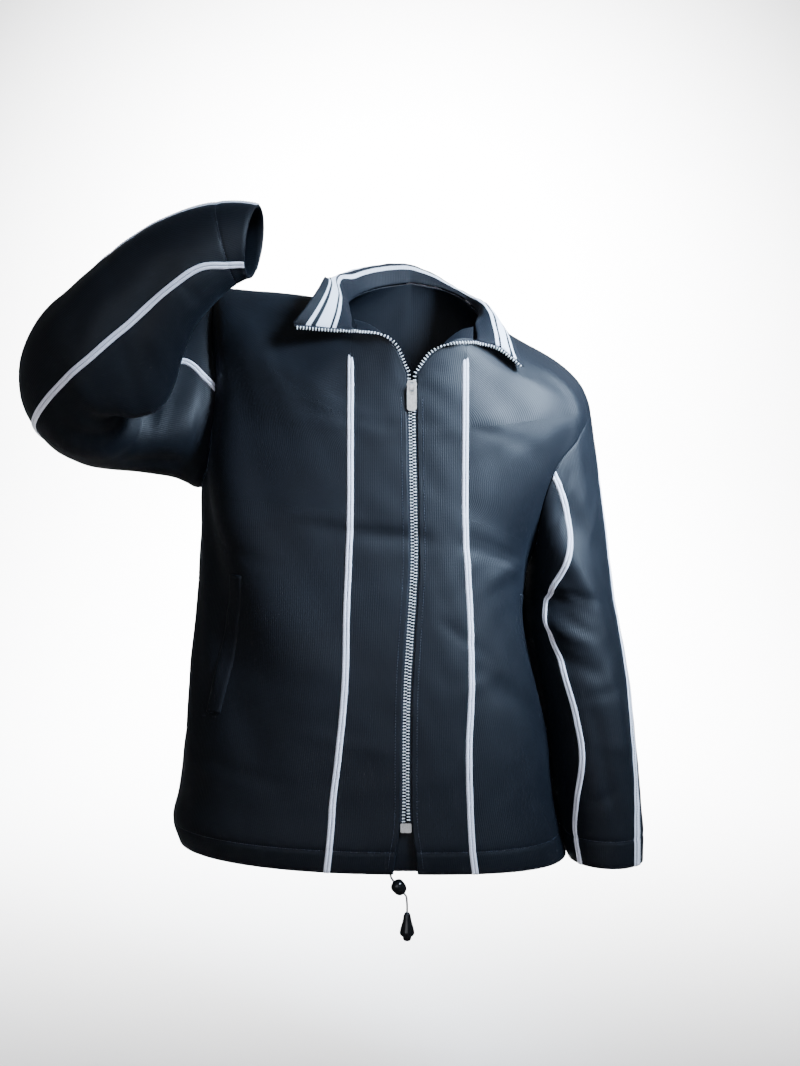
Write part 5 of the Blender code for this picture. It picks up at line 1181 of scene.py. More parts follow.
def make_pockets():
    """Make the welts of the two slanted pockets."""
    level = np.linspace(POCKET_BOTTOM_LEVEL, POCKET_TOP_LEVEL, 46)
    for name, side, column, place in (("left", -1, 0, LEFT_POCKET), ("right", 1, 2, RIGHT_POCKET)):
        seam = seam_turn(level, column)
        end = left_side(level, 0) if side < 0 else right_side(level, 0)
        slope = (POCKET_TOP_LEVEL - level) / (POCKET_TOP_LEVEL - POCKET_BOTTOM_LEVEL)
        first = place[0] + (place[1] - place[0]) * slope
        share = first[:, None] + POCKET_SHARE * steps_to_one(13)
        turn, rows = spread_places(level, seam, end, share)
        normals, cloth = surface_normal(body_cloth, turn, rows, 1.0), body_cloth(turn, rows)
        across = np.linspace(-1.0, 1.0, 13)
        height = 0.0001 + POCKET_RISE * (1.0 - np.abs(across) ** 6)
        height = height - 0.0004 * np.exp(-((across - 0.72) / 0.07) ** 2)
        top = cloth + normals * height[None, :, None]
        under = cloth - normals * 0.0003
        add_sheet(f"pocket_flap_{name}", top, under, "polyester_double_knit", (f"pocket_welt_{name}",))


# ======== zip
ZIP_PATHS = {}


def zip_path(side):
    """Line of one side of the zip: point, teeth side, looks side, tape's start, depth and shift."""
    if side not in ZIP_PATHS:
        hole = ARMHOLE_MIDDLE + ARMHOLE_REACH * np.cos(np.radians(ARMHOLE_TURNS))
        levels = np.concatenate((LOWER_LEVELS, hole, UPPER_LEVELS))
        seam, edge = seam_turn(levels, 0 if side < 0 else 2), front_edge(levels, side)
        start, end = (seam, edge) if side < 0 else (edge, seam)
        steps = steps_to_one(INNER_COLUMNS + 1)
        inner = body_grid(levels, start, end, lambda level: steps)
        outer_end = left_side(levels, 0) if side < 0 else right_side(levels, 0)
        if side < 0:
            shares = pocket_shares((0.0, 0.34, 0.68), *LEFT_POCKET, (0.34, 0.67, 1.0))
        else:
            shares = pocket_shares((0.0, 0.28, 0.54, 0.78), *RIGHT_POCKET, (0.5, 1.0))
        outer = body_grid(levels, seam, outer_end, shares)
        widths = edge[-1] - seam[-1], outer_end[-1] - seam[-1]
        turns = seam[-1] + np.concatenate((widths[0] * steps, widths[1] * shares(1.0)[1:]))
        rows = [values[-1] if side < 0 else values[-1, ::-1] for values in inner]
        top = (turns, *(np.concatenate((rows[i], outer[i][-1, 1:])) for i in range(2)))
        points, looks, toward, begin, depth, shift = zip_rows(side, levels, inner, top)
        values = np.concatenate((points, toward, looks, begin, depth, shift), axis=1)
        foot = values[:1].copy()
        foot[0, :3] += unit(points[0] - points[1]) * ZIP_REACH
        ZIP_PATHS[side] = np.concatenate((foot, values))
    return ZIP_PATHS[side]


def zip_places(side, distances):
    """The zip's line read at distances from its foot: point, directions and sizes, and its length."""
    values, length = resample(zip_path(side), distances)
    point, toward, looks = values[:, :3], unit(values[:, 3:6]), unit(values[:, 6:9])
    return point, toward, looks, values[:, 9:10], values[:, 10:11], values[:, 11:12], length


def make_zip_tape(side):
    """Make the woven tape of one side of the zip, with a cord along its teeth."""
    name = "left" if side < 0 else "right"
    length = zip_places(side, np.zeros(1))[-1]
    point, toward, looks, begin, depth, shift, _ = zip_places(side, np.linspace(0.0, length, 260))
    share = np.array((0.0, 0.25, 0.5, 0.75, 0.88, 0.94, 1.0))
    end = TAPE_SHOWS - shift
    offset = begin + (end - begin) * share
    rise = np.where(share > 0.9, 0.0003, 0.0)[None, :, None]
    middle = point[:, None] + toward[:, None] * offset[..., None]
    front = middle + looks[:, None] * (rise - depth[..., None])
    rear = middle - looks[:, None] * (rise + depth[..., None] + TAPE_THICK)
    add_sheet(f"woven_zip_tape_{name}", front, rear, "woven_polyester_tape", (f"zip_tape_{name}",))


def make_zip_teeth(side):
    """Make every tooth of one side of the zip, moulded round the edge of its tape."""
    name, pitch = "left" if side < 0 else "right", settings().zip.pitch
    length = zip_places(side, np.zeros(1))[-1]
    first = 0.001 if side < 0 else 0.001 + 0.5 * pitch
    point, toward, looks, _, depth, shift, _ = zip_places(side, np.arange(first, length - 0.001, pitch))
    along = np.cross(toward, looks)
    outline = np.array(((-0.45, -0.62), (0.6, -0.78), (1.1, -0.4), (1.8, -0.36), (2.3, -0.6), (3.0, -0.4), (3.0, 0.4),
        (2.3, 0.6), (1.8, 0.36), (1.1, 0.4), (0.6, 0.78), (-0.45, 0.62))) * 0.001
    middle = outline.mean(axis=0)
    sizes = ((0.8, -0.0011), (0.97, -0.00085), (1.0, -0.0005), (1.0, 0.0005), (0.97, 0.00085), (0.8, 0.0011))
    rings = [np.column_stack((middle + (outline - middle) * size, np.full(len(outline), height)))
        for size, height in sizes]
    tooth = np.concatenate(rings)
    base = point + toward * (TAPE_SHOWS - shift) - looks * (depth + 0.5 * TAPE_THICK)
    points = (base[:, None] + toward[:, None] * tooth[None, :, :1] + along[:, None] * tooth[None, :, 1:2]
        + looks[:, None] * tooth[None, :, 2:])
    sides, ends = tube_faces(len(rings), len(outline))
    faces = repeated(ends + sides, len(tooth), len(point))
    piece = add_piece(f"moulded_teeth_{name}", points.reshape(-1, 3), faces, None, "moulded_acetal",
        (f"zip_teeth_{name}",))
    piece.data.set_sharp_from_angle(angle=math.radians(45))


def make_zip_guard():
    """Make the strip of cloth behind the zip."""
    levels = np.linspace(GUARD_FOOT, GUARD_TOP, 110)
    offsets = np.linspace(-0.5, 0.5, 11) * GUARD_WIDTH
    turn = np.stack([seam_turn(levels, 1, offset) for offset in offsets], axis=1)
    level = np.repeat(levels[:, None], len(offsets), axis=1)
    normals = body_normal(turn, level)
    outer = body(turn, level) - normals * GUARD_DEPTH
    inner = outer - normals * GUARD_THICK
    piece = add_sheet("cloth_zip_guard", outer, inner, "polyester_double_knit", ("zip_guard",))
    flat, area = sheet_facts(outer)


def finish_hardware(node_name, width):
    """Round the corners of a metal piece of the zip and give it its finish."""
    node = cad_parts[node_name]
    rounding = node.modifiers.new("rounded", "BEVEL")
    rounding.width = width
    rounding.segments = 3
    rounding.limit_method = "ANGLE"
    rounding.angle_limit = math.radians(28)
    rounding.harden_normals = False
    for holder in node.material_slots:
        holder.material = material("nickel_plated_zinc")


# ======== hem cord
def smooth_rows(rows, count):
    """Rows of a table at even distances on a smooth curve through them."""
    rows = np.array(rows, float)
    length = distances_along(rows)
    return table_curve(np.concatenate((length[:, None], rows), axis=1), np.linspace(0.0, length[-1], count))


def turned_piece(name, foot, axis, profile, finish, nodes, corners=48, count=46):
    """Turn a smooth profile of distances and radii about an axis."""
    profile = smooth_rows(profile, count)
    sections = round_sections(np.array(foot) + profile[:, :1] * unit(axis), profile[:, 1], corners)
    sides, ends = tube_faces(count, corners)
    return add_piece(name, sections.reshape(-1, 3), sides + ends, None, finish, nodes)


def make_hem_cord():
    """Make the hem's cord, which runs through its lock and ends in a bell."""
    lock = turned_piece("cord_lock", LOCK_FOOT, LOCK_AXIS, LOCK_PROFILE, "moulded_abs", ("hem_cord_lock",))
    bell = turned_piece("cord_bell", BELL_FOOT, BELL_AXIS, BELL_PROFILE, "moulded_abs", ("hem_cord_bell",))
    route = smooth_rows((*CORD_UPPER, *CORD_LOWER, (-0.0068, -0.1368, -0.6768)), 40)
    curve = bpy.data.curves.new("elastic_hem_cord", "CURVE")
    curve.dimensions = "3D"
    line = curve.splines.new("POLY")
    line.points.add(len(route) - 1)
    for spot, place in zip(line.points, route):
        spot.co = (*place, 1.0)
    curve.bevel_depth = CORD_RADIUS
    curve.bevel_resolution = 5
    curve.use_fill_caps = True
    curve.materials.append(material("braided_elastic_cord"))
    cord = link_object("elastic_hem_cord", curve)
    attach(cord, BODY)
    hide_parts("hem_cord_upper", "hem_cord_lower")


# ======== sewing
def sew(name, lines, radius=STITCH_RADIUS):
    """Lay rows of stitches along lines of points with their normals, as one piece."""
    pitch, length = settings().sewing.pitch, settings().sewing.length
    share = np.array((-0.5, -0.34, 0.0, 0.34, 0.5))
    size = np.array((0.3, 0.92, 1.0, 0.92, 0.3)) * radius
    lift = np.array((-0.9, 0.1, 0.45, 0.1, -0.9)) * radius
    angle = np.linspace(0.0, 2.0 * np.pi, 6, endpoint=False)
    parts = []
    for points, normals in lines:
        line = np.concatenate((points, normals), axis=1)
        places = np.arange(0.5 * pitch, resample(line, np.zeros(1))[1] - 0.5 * pitch, pitch)
        rows, ahead = (resample(line, distances)[0] for distances in (places, places + 0.0004))
        normal = unit(rows[:, 3:6])
        tangent = unit(ahead[:, :3] - rows[:, :3])
        across = np.cross(normal, tangent)
        centre = (rows[:, None, :3] + tangent[:, None] * (share * length)[None, :, None]
            + normal[:, None] * lift[None, :, None])
        ring = (across[:, None, None] * (np.cos(angle)[None, :] * size[:, None])[None, :, :, None]
            + normal[:, None, None] * (np.sin(angle)[None, :] * size[:, None])[None, :, :, None])
        parts.append((centre[:, :, None] + ring).reshape(-1, 3))
    points = np.concatenate(parts)
    sides, ends = tube_faces(len(share), len(angle))
    corners = len(share) * len(angle)
    return add_piece(name, points, repeated(sides + ends, corners, len(points) // corners), None, "polyester_thread")


def surface_line(surface, sign, turn, level, lift=0.0):
    """Points and normals of a line on a surface."""
    normals = surface_normal(surface, turn, level, sign)
    return surface(turn, level) + normals * lift, normals


def make_stitching():
    """Sew the hem, the cuffs, the fronts beside the zip and the sleeves' tapes."""
    steps = steps_to_one(420)
    edge_left, edge_right = (front_edge(np.full(2, HEM_STITCH), side)[0] for side in (-1, 1))
    turn = edge_right + (360.0 + edge_left - edge_right) * steps
    sew("stitches_hem", [surface_line(body_cloth, 1.0, turn, np.full(turn.shape, HEM_STITCH), 0.0002)])
    cuffs = [surface_line(surface, sign, 360.0 * steps, np.full(steps.shape, CUFF_STITCH), 0.0002)
        for _, surface, sign, _ in SLEEVES]
    sew("stitches_cuffs", cuffs)
    fronts = []
    level = np.linspace(0.012, 0.9, 260)
    for side in (-1, 1):
        middle = np.maximum(table_curve(SEAMS, level)[..., 3], FRONT_HALF_GAP)
        turn = seam_turn(level, 1, side * (middle + FRONT_STITCH_OFFSET))
        fronts.append(surface_line(body_cloth, 1.0, turn, level, 0.0001))
    sew("stitches_fronts", fronts)
    tapes = []
    along = np.linspace(0.006, 1.0, 200)
    for _, surface, sign, trims in SLEEVES:
        middle = table_curve(trims, along)[:, 0]
        wide = np.linalg.norm(surface(middle + 0.5, along) - surface(middle - 0.5, along), axis=1)
        for offset in (-TAPE_STITCH_OFFSET, TAPE_STITCH_OFFSET):
            tapes.append(surface_line(surface, sign, middle + offset / wide, along, TAPE_RISE + 0.0001))
    sew("stitches_tapes", tapes, TAPE_STITCH_RADIUS)


# ======== finishes
WAVE_UNIT = math.pi / 10.0  # a wave texture of scale 1 repeats after this length
MULTIPLY = {"data_type": "RGBA", "blend_type": "MULTIPLY"}
PALE_FIBRE = {"IOR": 1.5, "Specular IOR Level": 0.4, "Sheen Weight": 0.2, "Sheen Roughness": 0.4,
    "Diffuse Roughness": 0.6}


def colour(code):
    """Linear colour of an sRGB hex value."""
    parts = [int(code[i:i + 2], 16) / 255.0 for i in (1, 3, 5)]
    return (*(part / 12.92 if part <= 0.04045 else ((part + 0.055) / 1.055) ** 2.4 for part in parts), 1.0)


def scaled(tint, share):
    """A colour made darker or lighter by a share."""
    return (*(min(part * share, 1.0) for part in tint[:3]), 1.0)


def grey(value):
    """Grey of this linear value."""
    return (value, value, value, 1.0)


def settings():
    """The panel's settings."""
    return bpy.context.scene.track_jacket


def add_node(tree, kind, values=None, links=None, output=0):
    """Add a node with its properties, colour stops and constant inputs, join its inputs, and return an output."""
    node = tree.nodes.new("ShaderNode" + kind)
    for key, value in (values or {}).items():
        if key == "stops":
            stops = node.color_ramp.elements
            while len(stops) < len(value):
                stops.new(1.0)
            for stop, (place, tint) in zip(stops, sorted(value)):
                stop.position, stop.color = place, tint
        elif key == "interpolation":
            node.color_ramp.interpolation = value
        elif isinstance(key, str) and hasattr(node, key):
            setattr(node, key, value)
        else:
            node.inputs[key].default_value = value
    for key, source in (links or {}).items():
        tree.links.new(source, node.inputs[key])
    return node.outputs[output] if node.outputs else None


def finish_surface(tree, values, links):
    """Shader with these constant values and links, joined to the material's output."""
    add_node(tree, "OutputMaterial", {}, {"Surface": add_node(tree, "BsdfPrincipled", values, links)})


def knit_relief(tree, place, wale, course, course_share):
    """Relief of knitted cloth: wales along it every wale metres, crossed by courses."""
    bands = {"Distortion": 0.35, "Detail": 1.0, "Detail Scale": 0.6}
    wales = add_node(tree, "TexWave", {**bands, "Scale": WAVE_UNIT / wale}, {"Vector": place}, "Fac")
    courses = add_node(tree, "TexWave", {**bands, "bands_direction": "Y", "Scale": WAVE_UNIT / course},
        {"Vector": place}, "Fac")
    return wales, add_node(tree, "Mix", {0: course_share}, {2: wales, 3: courses})


def mottle(tree, noise_values, tint, stops, roughness=None):
    """Noise over the piece in metres, and the colour and the roughness that follow it."""
    noise = add_node(tree, "TexNoise", noise_values, {"Vector": add_node(tree, "TexCoord", output="Object")})
    shades = [(place, scaled(tint, share)) for place, share in stops]
    links = {"Base Color": add_node(tree, "ValToRGB", {"stops": shades}, {"Fac": noise})}
    if roughness:
        low, high = roughness
        links["Roughness"] = add_node(tree, "MapRange", {"To Min": low, "To Max": high}, {"Value": noise})
    return noise, links


def polyester_double_knit(tree):
    """Polyester double knit, machine knitted and heat set: smooth, with fine upright ribs and a cool satin sheen."""
    cloth = settings().cloth
    place = add_node(tree, "UVMap", {"uv_map": "cloth_metres"})
    # real wales are 0.9 mm apart; they are drawn as wide as rib_pitch so that they show
    wales, relief = knit_relief(tree, place, cloth.rib_pitch, 0.62 * cloth.rib_pitch, 0.22)
    position = add_node(tree, "TexCoord", output="Object")
    fibre = add_node(tree, "TexNoise", {"Scale": 700.0, "Detail": 3.0, "Roughness": 0.6}, {"Vector": position})
    wear = add_node(tree, "TexNoise", {"Scale": 14.0, "Detail": 5.0, "Roughness": 0.55}, {"Vector": position})
    # painted shade and light: the cloth's colour is darker in the grooves between the drawn wales and lighter on
    # their tops
    base = add_node(tree, "ValToRGB", {"stops": ((0.25, scaled(cloth.navy, 0.9)), (0.75, scaled(cloth.navy, 1.1)))},
        {"Fac": wales})
    worn = add_node(tree, "ValToRGB", {"stops": ((0.35, grey(0.9)), (0.68, (1.16, 1.15, 1.13, 1.0)))}, {"Fac": wear})
    mixed = add_node(tree, "Mix", {**MULTIPLY, 0: 1.0}, {6: base, 7: worn}, 2)
    fuzz = add_node(tree, "ValToRGB", {"stops": ((0.3, grey(0.84)), (0.72, grey(1.18)))}, {"Fac": fibre})
    final = add_node(tree, "Mix", {**MULTIPLY, 0: 0.7}, {6: mixed, 7: fuzz}, 2)
    rough = add_node(tree, "MapRange", {"From Min": 0.3, "From Max": 0.7, "To Min": 0.5, "To Max": 0.6},
        {"Value": wear})
    fine = add_node(tree, "Bump", {"Strength": 0.3, "Distance": 0.0004}, {"Height": fibre})
    bump = add_node(tree, "Bump", {"Strength": 0.25, "Distance": 0.0005}, {"Height": relief, "Normal": fine})
    finish_surface(tree, {"IOR": 1.5, "Specular IOR Level": 0.26, "Sheen Weight": 0.03, "Sheen Roughness": 0.4,
            "Sheen Tint": colour("#7f9bb0"), "Diffuse Roughness": 0.5},
        {"Base Color": final, "Roughness": rough, "Normal": bump})


def striped_collar_knit(tree):
    """Polyester rib knit with its stripes knitted in: soft, matt, with clear ribs up the collar."""
    collar = settings().collar
    place = add_node(tree, "UVMap", {"uv_map": "cloth_metres"})
    along = add_node(tree, "SeparateXYZ", {}, {0: place}, "Y")
    # real ribs are 1.2 mm apart; they are drawn 2.2 mm apart so that they show
    ribs, relief = knit_relief(tree, place, 0.0022, 0.0014, 0.3)
    # the stripes' edges step with the ribs by a quarter of a millimetre
    uneven = add_node(tree, "MapRange", {"To Min": -0.00025, "To Max": 0.00025}, {"Value": ribs})
    height = add_node(tree, "Math", {"operation": "ADD"}, {0: along, 1: uneven})
    share = add_node(tree, "Math", {"operation": "DIVIDE", 1: COLLAR_HEIGHT}, {0: height})
    navy, white = tuple(collar.navy), tuple(collar.white)
    edges = [(0.0, navy)]
    for low, high in COLLAR_STRIPES:
        edges += [(low / COLLAR_HEIGHT, white), (high / COLLAR_HEIGHT, navy)]
    stripes = add_node(tree, "ValToRGB", {"interpolation": "CONSTANT", "stops": edges}, {"Fac": share})
    # painted shade and light: the collar's colour is darker between its ribs and lighter on their tops
    painted_relief_shading = add_node(tree, "ValToRGB", {"stops": ((0.2, (0.8, 0.8, 0.82, 1.0)), (0.8, grey(1.04)))}, {"Fac": ribs})
    final = add_node(tree, "Mix", {**MULTIPLY, 0: 1.0}, {6: stripes, 7: painted_relief_shading}, 2)
    bump = add_node(tree, "Bump", {"Strength": 0.45, "Distance": 0.0005}, {"Height": relief})
    finish_surface(tree, {"IOR": 1.5, "Specular IOR Level": 0.24, "Sheen Weight": 0.03, "Sheen Roughness": 0.45,
            "Sheen Tint": colour("#a9b6c4"), "Roughness": 0.66, "Diffuse Roughness": 0.6},
        {"Base Color": final, "Normal": bump})


def knitted_piping(tree):
    """Knitted piping over a cotton core: pale, soft, with fine cross ribs and a shadow line between its beads."""
    tint = settings().trim.piping
    place = add_node(tree, "UVMap", {"uv_map": "cloth_metres"})
    across = add_node(tree, "SeparateXYZ", {}, {0: place})
    offset = add_node(tree, "Math", {"operation": "ABSOLUTE"}, {0: across})
    share = add_node(tree, "Math", {"operation": "DIVIDE", 1: 0.001}, {0: offset})
    # painted shadow: the middle of the piping, the groove between its beads, is coloured dark
    line = add_node(tree, "ValToRGB", {"stops": ((0.0, (0.26, 0.27, 0.33, 1.0)), (0.42, (0.34, 0.35, 0.41, 1.0)),
        (0.62, grey(1.0)))}, {"Fac": share})
    # real cross ribs are 0.7 mm apart; they are drawn 1.6 mm apart so that they show
    ribs = add_node(tree, "TexWave", {"bands_direction": "Y", "Scale": WAVE_UNIT / 0.0016, "Distortion": 0.3,
        "Detail": 1.0}, {"Vector": place}, "Fac")
    # painted shade and light: the piping's colour is darker between its cross ribs and lighter on their tops
    painted_relief_shading = add_node(tree, "ValToRGB", {"stops": ((0.15, scaled(tint, 0.86)), (0.75, scaled(tint, 1.04)))},
        {"Fac": ribs})
    final = add_node(tree, "Mix", {**MULTIPLY, 0: 1.0}, {6: painted_relief_shading, 7: line}, 2)
    bump = add_node(tree, "Bump", {"Strength": 0.5, "Distance": 0.0004}, {"Height": ribs})
    finish_surface(tree, {**PALE_FIBRE, "Roughness": 0.58}, {"Base Color": final, "Normal": bump})


def double_striped_tape(tree):
    """Knitted polyester tape: pale, flat, ribbed across its middle, with two sewn furrows that read as grey lines."""
    white = tuple(settings().trim.tape)
    dark = scaled(white, 0.34)
    place = add_node(tree, "UVMap", {"uv_map": "cloth_metres"})
    across = add_node(tree, "SeparateXYZ", {}, {0: place})
    offset = add_node(tree, "Math", {"operation": "ABSOLUTE"}, {0: across})
    share = add_node(tree, "Math", {"operation": "DIVIDE", 1: 0.5 * TAPE_WIDTH}, {0: offset})
    rows = add_node(tree, "ValToRGB", {"stops": ((0.0, white), (0.44, white), (0.49, dark), (0.66, dark),
        (0.71, white), (1.0, white))}, {"Fac": share})
    # real ribs are 0.8 mm apart; they are drawn 1.8 mm apart so that they show
    ribs = add_node(tree, "TexWave", {"bands_direction": "Y", "Scale": WAVE_UNIT / 0.0018, "Distortion": 0.25,
        "Detail": 1.0}, {"Vector": place}, "Fac")
    # painted shade and light: the tape's colour is darker between its ribs and lighter on their tops
    painted_relief_shading = add_node(tree, "ValToRGB", {"stops": ((0.15, (0.84, 0.84, 0.86, 1.0)), (0.75, grey(1.04)))},
        {"Fac": ribs})
    final = add_node(tree, "Mix", {**MULTIPLY, 0: 1.0}, {6: rows, 7: painted_relief_shading}, 2)
    furrow = add_node(tree, "ValToRGB", {"stops": ((0.44, grey(1.0)), (0.52, grey(0.0)), (0.63, grey(0.0)),
        (0.71, grey(1.0)))}, {"Fac": share})
    deep = add_node(tree, "Bump", {"Strength": 0.8, "Distance": 0.0005}, {"Height": furrow})
    bump = add_node(tree, "Bump", {"Strength": 0.45, "Distance": 0.0004}, {"Height": ribs, "Normal": deep})
    finish_surface(tree, {**PALE_FIBRE, "Roughness": 0.55}, {"Base Color": final, "Normal": bump})


def woven_polyester_tape(tree):
    """Woven polyester zip tape: dark and dense, with a slanting twill whose light and shade are painted into its
    colour.
    """
    tint = settings().zip.tape
    place = add_node(tree, "UVMap", {"uv_map": "cloth_metres"})
    # real twill lines are 0.5 mm apart; they are drawn 1.2 mm apart so that they show
    twill = add_node(tree, "TexWave", {"bands_direction": "DIAGONAL", "Scale": WAVE_UNIT / 0.0012, "Distortion": 0.2},
        {"Vector": place}, "Fac")
    # painted light and shade: the colour is lighter along the twill's lines and darker between them
    stops = (0.2, scaled(tint, 0.75)), (0.8, scaled(tint, 1.3))
    painted_relief_shading = add_node(tree, "ValToRGB", {"stops": stops}, {"Fac": twill})
    bump = add_node(tree, "Bump", {"Strength": 0.5, "Distance": 0.0003}, {"Height": twill})
    finish_surface(tree, {"IOR": 1.5, "Specular IOR Level": 0.4, "Sheen Weight": 0.15, "Sheen Roughness": 0.4,
        "Roughness": 0.6}, {"Base Color": painted_relief_shading, "Normal": bump})


def moulded_acetal(tree):
    """Acetal, injection moulded: waxy off-white teeth with a soft gloss."""
    links = mottle(tree, {"Scale": 260.0, "Detail": 2.0}, settings().zip.teeth, ((0.3, 0.86), (0.7, 1.03)),
        (0.26, 0.44))[1]
    finish_surface(tree, {"IOR": 1.48, "Specular IOR Level": 0.5}, links)


def nickel_plated_zinc(tree):
    """Zinc, die cast and nickel plated: bright warm grey, polished, with fine scratches and duller worn spots."""
    links = mottle(tree, {"Scale": 220.0, "Detail": 3.0}, settings().zip.metal, ((0.35, 0.8), (0.65, 1.04)))[1]
    position = add_node(tree, "TexCoord", output="Object")
    stretched = add_node(tree, "Mapping", {"Scale": (900.0, 900.0, 120.0)}, {"Vector": position})
    scratches = add_node(tree, "TexNoise", {"Scale": 1.0, "Detail": 4.0, "Roughness": 0.7}, {"Vector": stretched})
    links["Roughness"] = add_node(tree, "MapRange", {"From Min": 0.3, "From Max": 0.7, "To Min": 0.22, "To Max": 0.4},
        {"Value": scratches})
    links["Normal"] = add_node(tree, "Bump", {"Strength": 0.12, "Distance": 0.0002}, {"Height": scratches})
    finish_surface(tree, {"Metallic": 1.0}, links)


def braided_elastic_cord(tree):
    """Polyester over elastic, braided: black, with slanting strands that carry a painted glitter, lighter on their
    tops and darker between them.
    """
    tint = settings().cord.cord
    position = add_node(tree, "TexCoord", output="Object")
    # real strands are 0.4 mm apart; they are drawn 0.9 mm apart so that they show
    bands = {"bands_direction": "DIAGONAL", "Scale": WAVE_UNIT / 0.0009, "Distortion": 0.6}
    strands = add_node(tree, "TexWave", bands, {"Vector": position}, "Fac")
    # painted glint and shade: the colour is much lighter on the strands' tops and darker between them
    stops = (0.2, scaled(tint, 0.7)), (0.8, scaled(tint, 1.9))
    painted_relief_shading = add_node(tree, "ValToRGB", {"stops": stops}, {"Fac": strands})
    bump = add_node(tree, "Bump", {"Strength": 0.6, "Distance": 0.0003}, {"Height": strands})
    finish_surface(tree, {"IOR": 1.5, "Specular IOR Level": 0.5, "Sheen Weight": 0.2, "Sheen Roughness": 0.35,
        "Roughness": 0.48}, {"Base Color": painted_relief_shading, "Normal": bump})


def moulded_abs(tree):
    """ABS, injection moulded in a polished mould: black and glossy, with faint ripples in its highlights."""
    flow, links = mottle(tree, {"Scale": 130.0, "Detail": 2.0}, settings().cord.plastic, ((0.3, 0.85), (0.7, 1.25)),
        (0.1, 0.24))
    links["Normal"] = add_node(tree, "Bump", {"Strength": 0.06, "Distance": 0.0008}, {"Height": flow})
    finish_surface(tree, {"IOR": 1.53, "Specular IOR Level": 0.55}, links)


def polyester_thread(tree):
    """Spun polyester thread: navy like the cloth, with a brighter lustre."""
    links = mottle(tree, {"Scale": 1500.0, "Detail": 2.0}, settings().sewing.thread, ((0.3, 0.75), (0.7, 1.25)),
        (0.4, 0.6))[1]
    finish_surface(tree, {"IOR": 1.5, "Specular IOR Level": 0.5, "Sheen Weight": 0.25, "Sheen Roughness": 0.3}, links)


def backdrop_paper(tree):
    """Painted studio backdrop paper: matt and nearly white, with the faint cloud of a rolled coat."""
    links = mottle(tree, {"Scale": 2.0, "Detail": 3.0}, settings().stage.floor, ((0.35, 0.985), (0.65, 1.0)))[1]
    finish_surface(tree, {"Specular IOR Level": 0.2, "Roughness": 0.92}, links)


FINISHES = (polyester_double_knit, striped_collar_knit, knitted_piping, double_striped_tape, woven_polyester_tape,
    moulded_acetal, nickel_plated_zinc, braided_elastic_cord, moulded_abs, polyester_thread, backdrop_paper)


def material(name):
    """Finish of this name, made when it is first used."""
    if name not in bpy.data.materials:
        finish = bpy.data.materials.new(name)
        finish.use_nodes = True
        finish.node_tree.nodes.clear()
        next(make for make in FINISHES if make.__name__ == name)(finish.node_tree)
    return bpy.data.materials[name]


# ======== stage
def add_lamp(name, place, target, power, size, tint):
    """Add a soft square lamp that faces a point."""
    lamp = bpy.data.lights.new(name, "AREA")
    lamp.energy, lamp.size, lamp.color = power, size, colour(tint)[:3]
    item = link_object(name, lamp)
    item.location = place
    item.visible_camera = False
    item.rotation_euler = (Vector(target) - item.location).to_track_quat("-Z", "Y").to_euler()
    return lamp


def make_stage():
    """Set up the camera, a pale sweep of backdrop paper and soft studio lamps."""
    stage = settings().stage
    camera = bpy.data.cameras.new("camera")
    camera.sensor_fit, camera.sensor_height, camera.lens = "VERTICAL", 36.0, stage.lens
    camera.clip_start, camera.clip_end = 0.02, 20.0
    holder = link_object("camera", camera)
    holder.location = (-0.0144, -stage.distance, -0.2676)
    holder.rotation_euler = (math.radians(90.0), 0.0, 0.0)
    bpy.context.scene.camera = holder

    # the paper lies on the floor in front, and turns up in a wide curve behind
    near, far, half_width, height, radius = -3.2, 3.0, 4.5, 4.4, 1.1
    bend = [(far - radius * (1.0 - math.sin(step)), FLOOR + radius * (1.0 - math.cos(step)))
        for step in np.linspace(0.0, 0.5 * math.pi, 24)]
    profile = [(near, FLOOR)] + bend + [(far, FLOOR + height)]
    mesh = bpy.data.meshes.new("backdrop")
    work = bmesh.new()
    rows = [[work.verts.new((x, y, z)) for x in (-half_width, half_width)] for y, z in profile]
    for first, second in zip(rows[:-1], rows[1:]):
        work.faces.new((first[0], first[1], second[1], second[0]))
    work.to_mesh(mesh)
    work.free()
    mesh.materials.append(material("backdrop_paper"))
    mesh.shade_smooth()
    backdrop = link_object("backdrop", mesh)
    backdrop.visible_glossy = False  # else the upper sides of the cloth mirror it

    key = add_lamp("key_lamp", (0.78, -0.66, 0.4), (0.14, -0.02, -0.13), stage.key_power, 0.4, "#cce4ff")
    key.spread = math.radians(50)
    add_lamp("fill_lamp", (-0.5, -2.3, 0.0), (-0.05, 0.0, -0.35), stage.fill_power, 1.8, "#f2f6ff")
    add_lamp("rim_lamp", (0.9, 0.9, 0.8), (0.05, 0.0, -0.2), stage.rim_power, 0.8, "#ffffff")
    glow = add_lamp("backdrop_lamp", (0.0, 0.6, 1.9), (0.0, 3.0, -0.3), stage.backdrop_power, 2.0, "#ffffff")
    glow.spread = math.radians(96)
    world = bpy.data.worlds.new("studio")
    world.use_nodes = True
    world.node_tree.nodes.clear()
    sky = add_node(world.node_tree, "Background", {"Color": colour("#f4f6fa"), "Strength": stage.ambient})
    add_node(world.node_tree, "OutputWorld", {}, {"Surface": sky})
    bpy.context.scene.world = world


# ======== settings
TINT = {"subtype": "COLOR", "size": 4, "min": 0.0, "max": 1.0}
LENGTH = {"subtype": "DISTANCE", "unit": "LENGTH", "min": 0.0005}
POWER = {"unit": "POWER", "min": 0.0, "max": 1000.0}


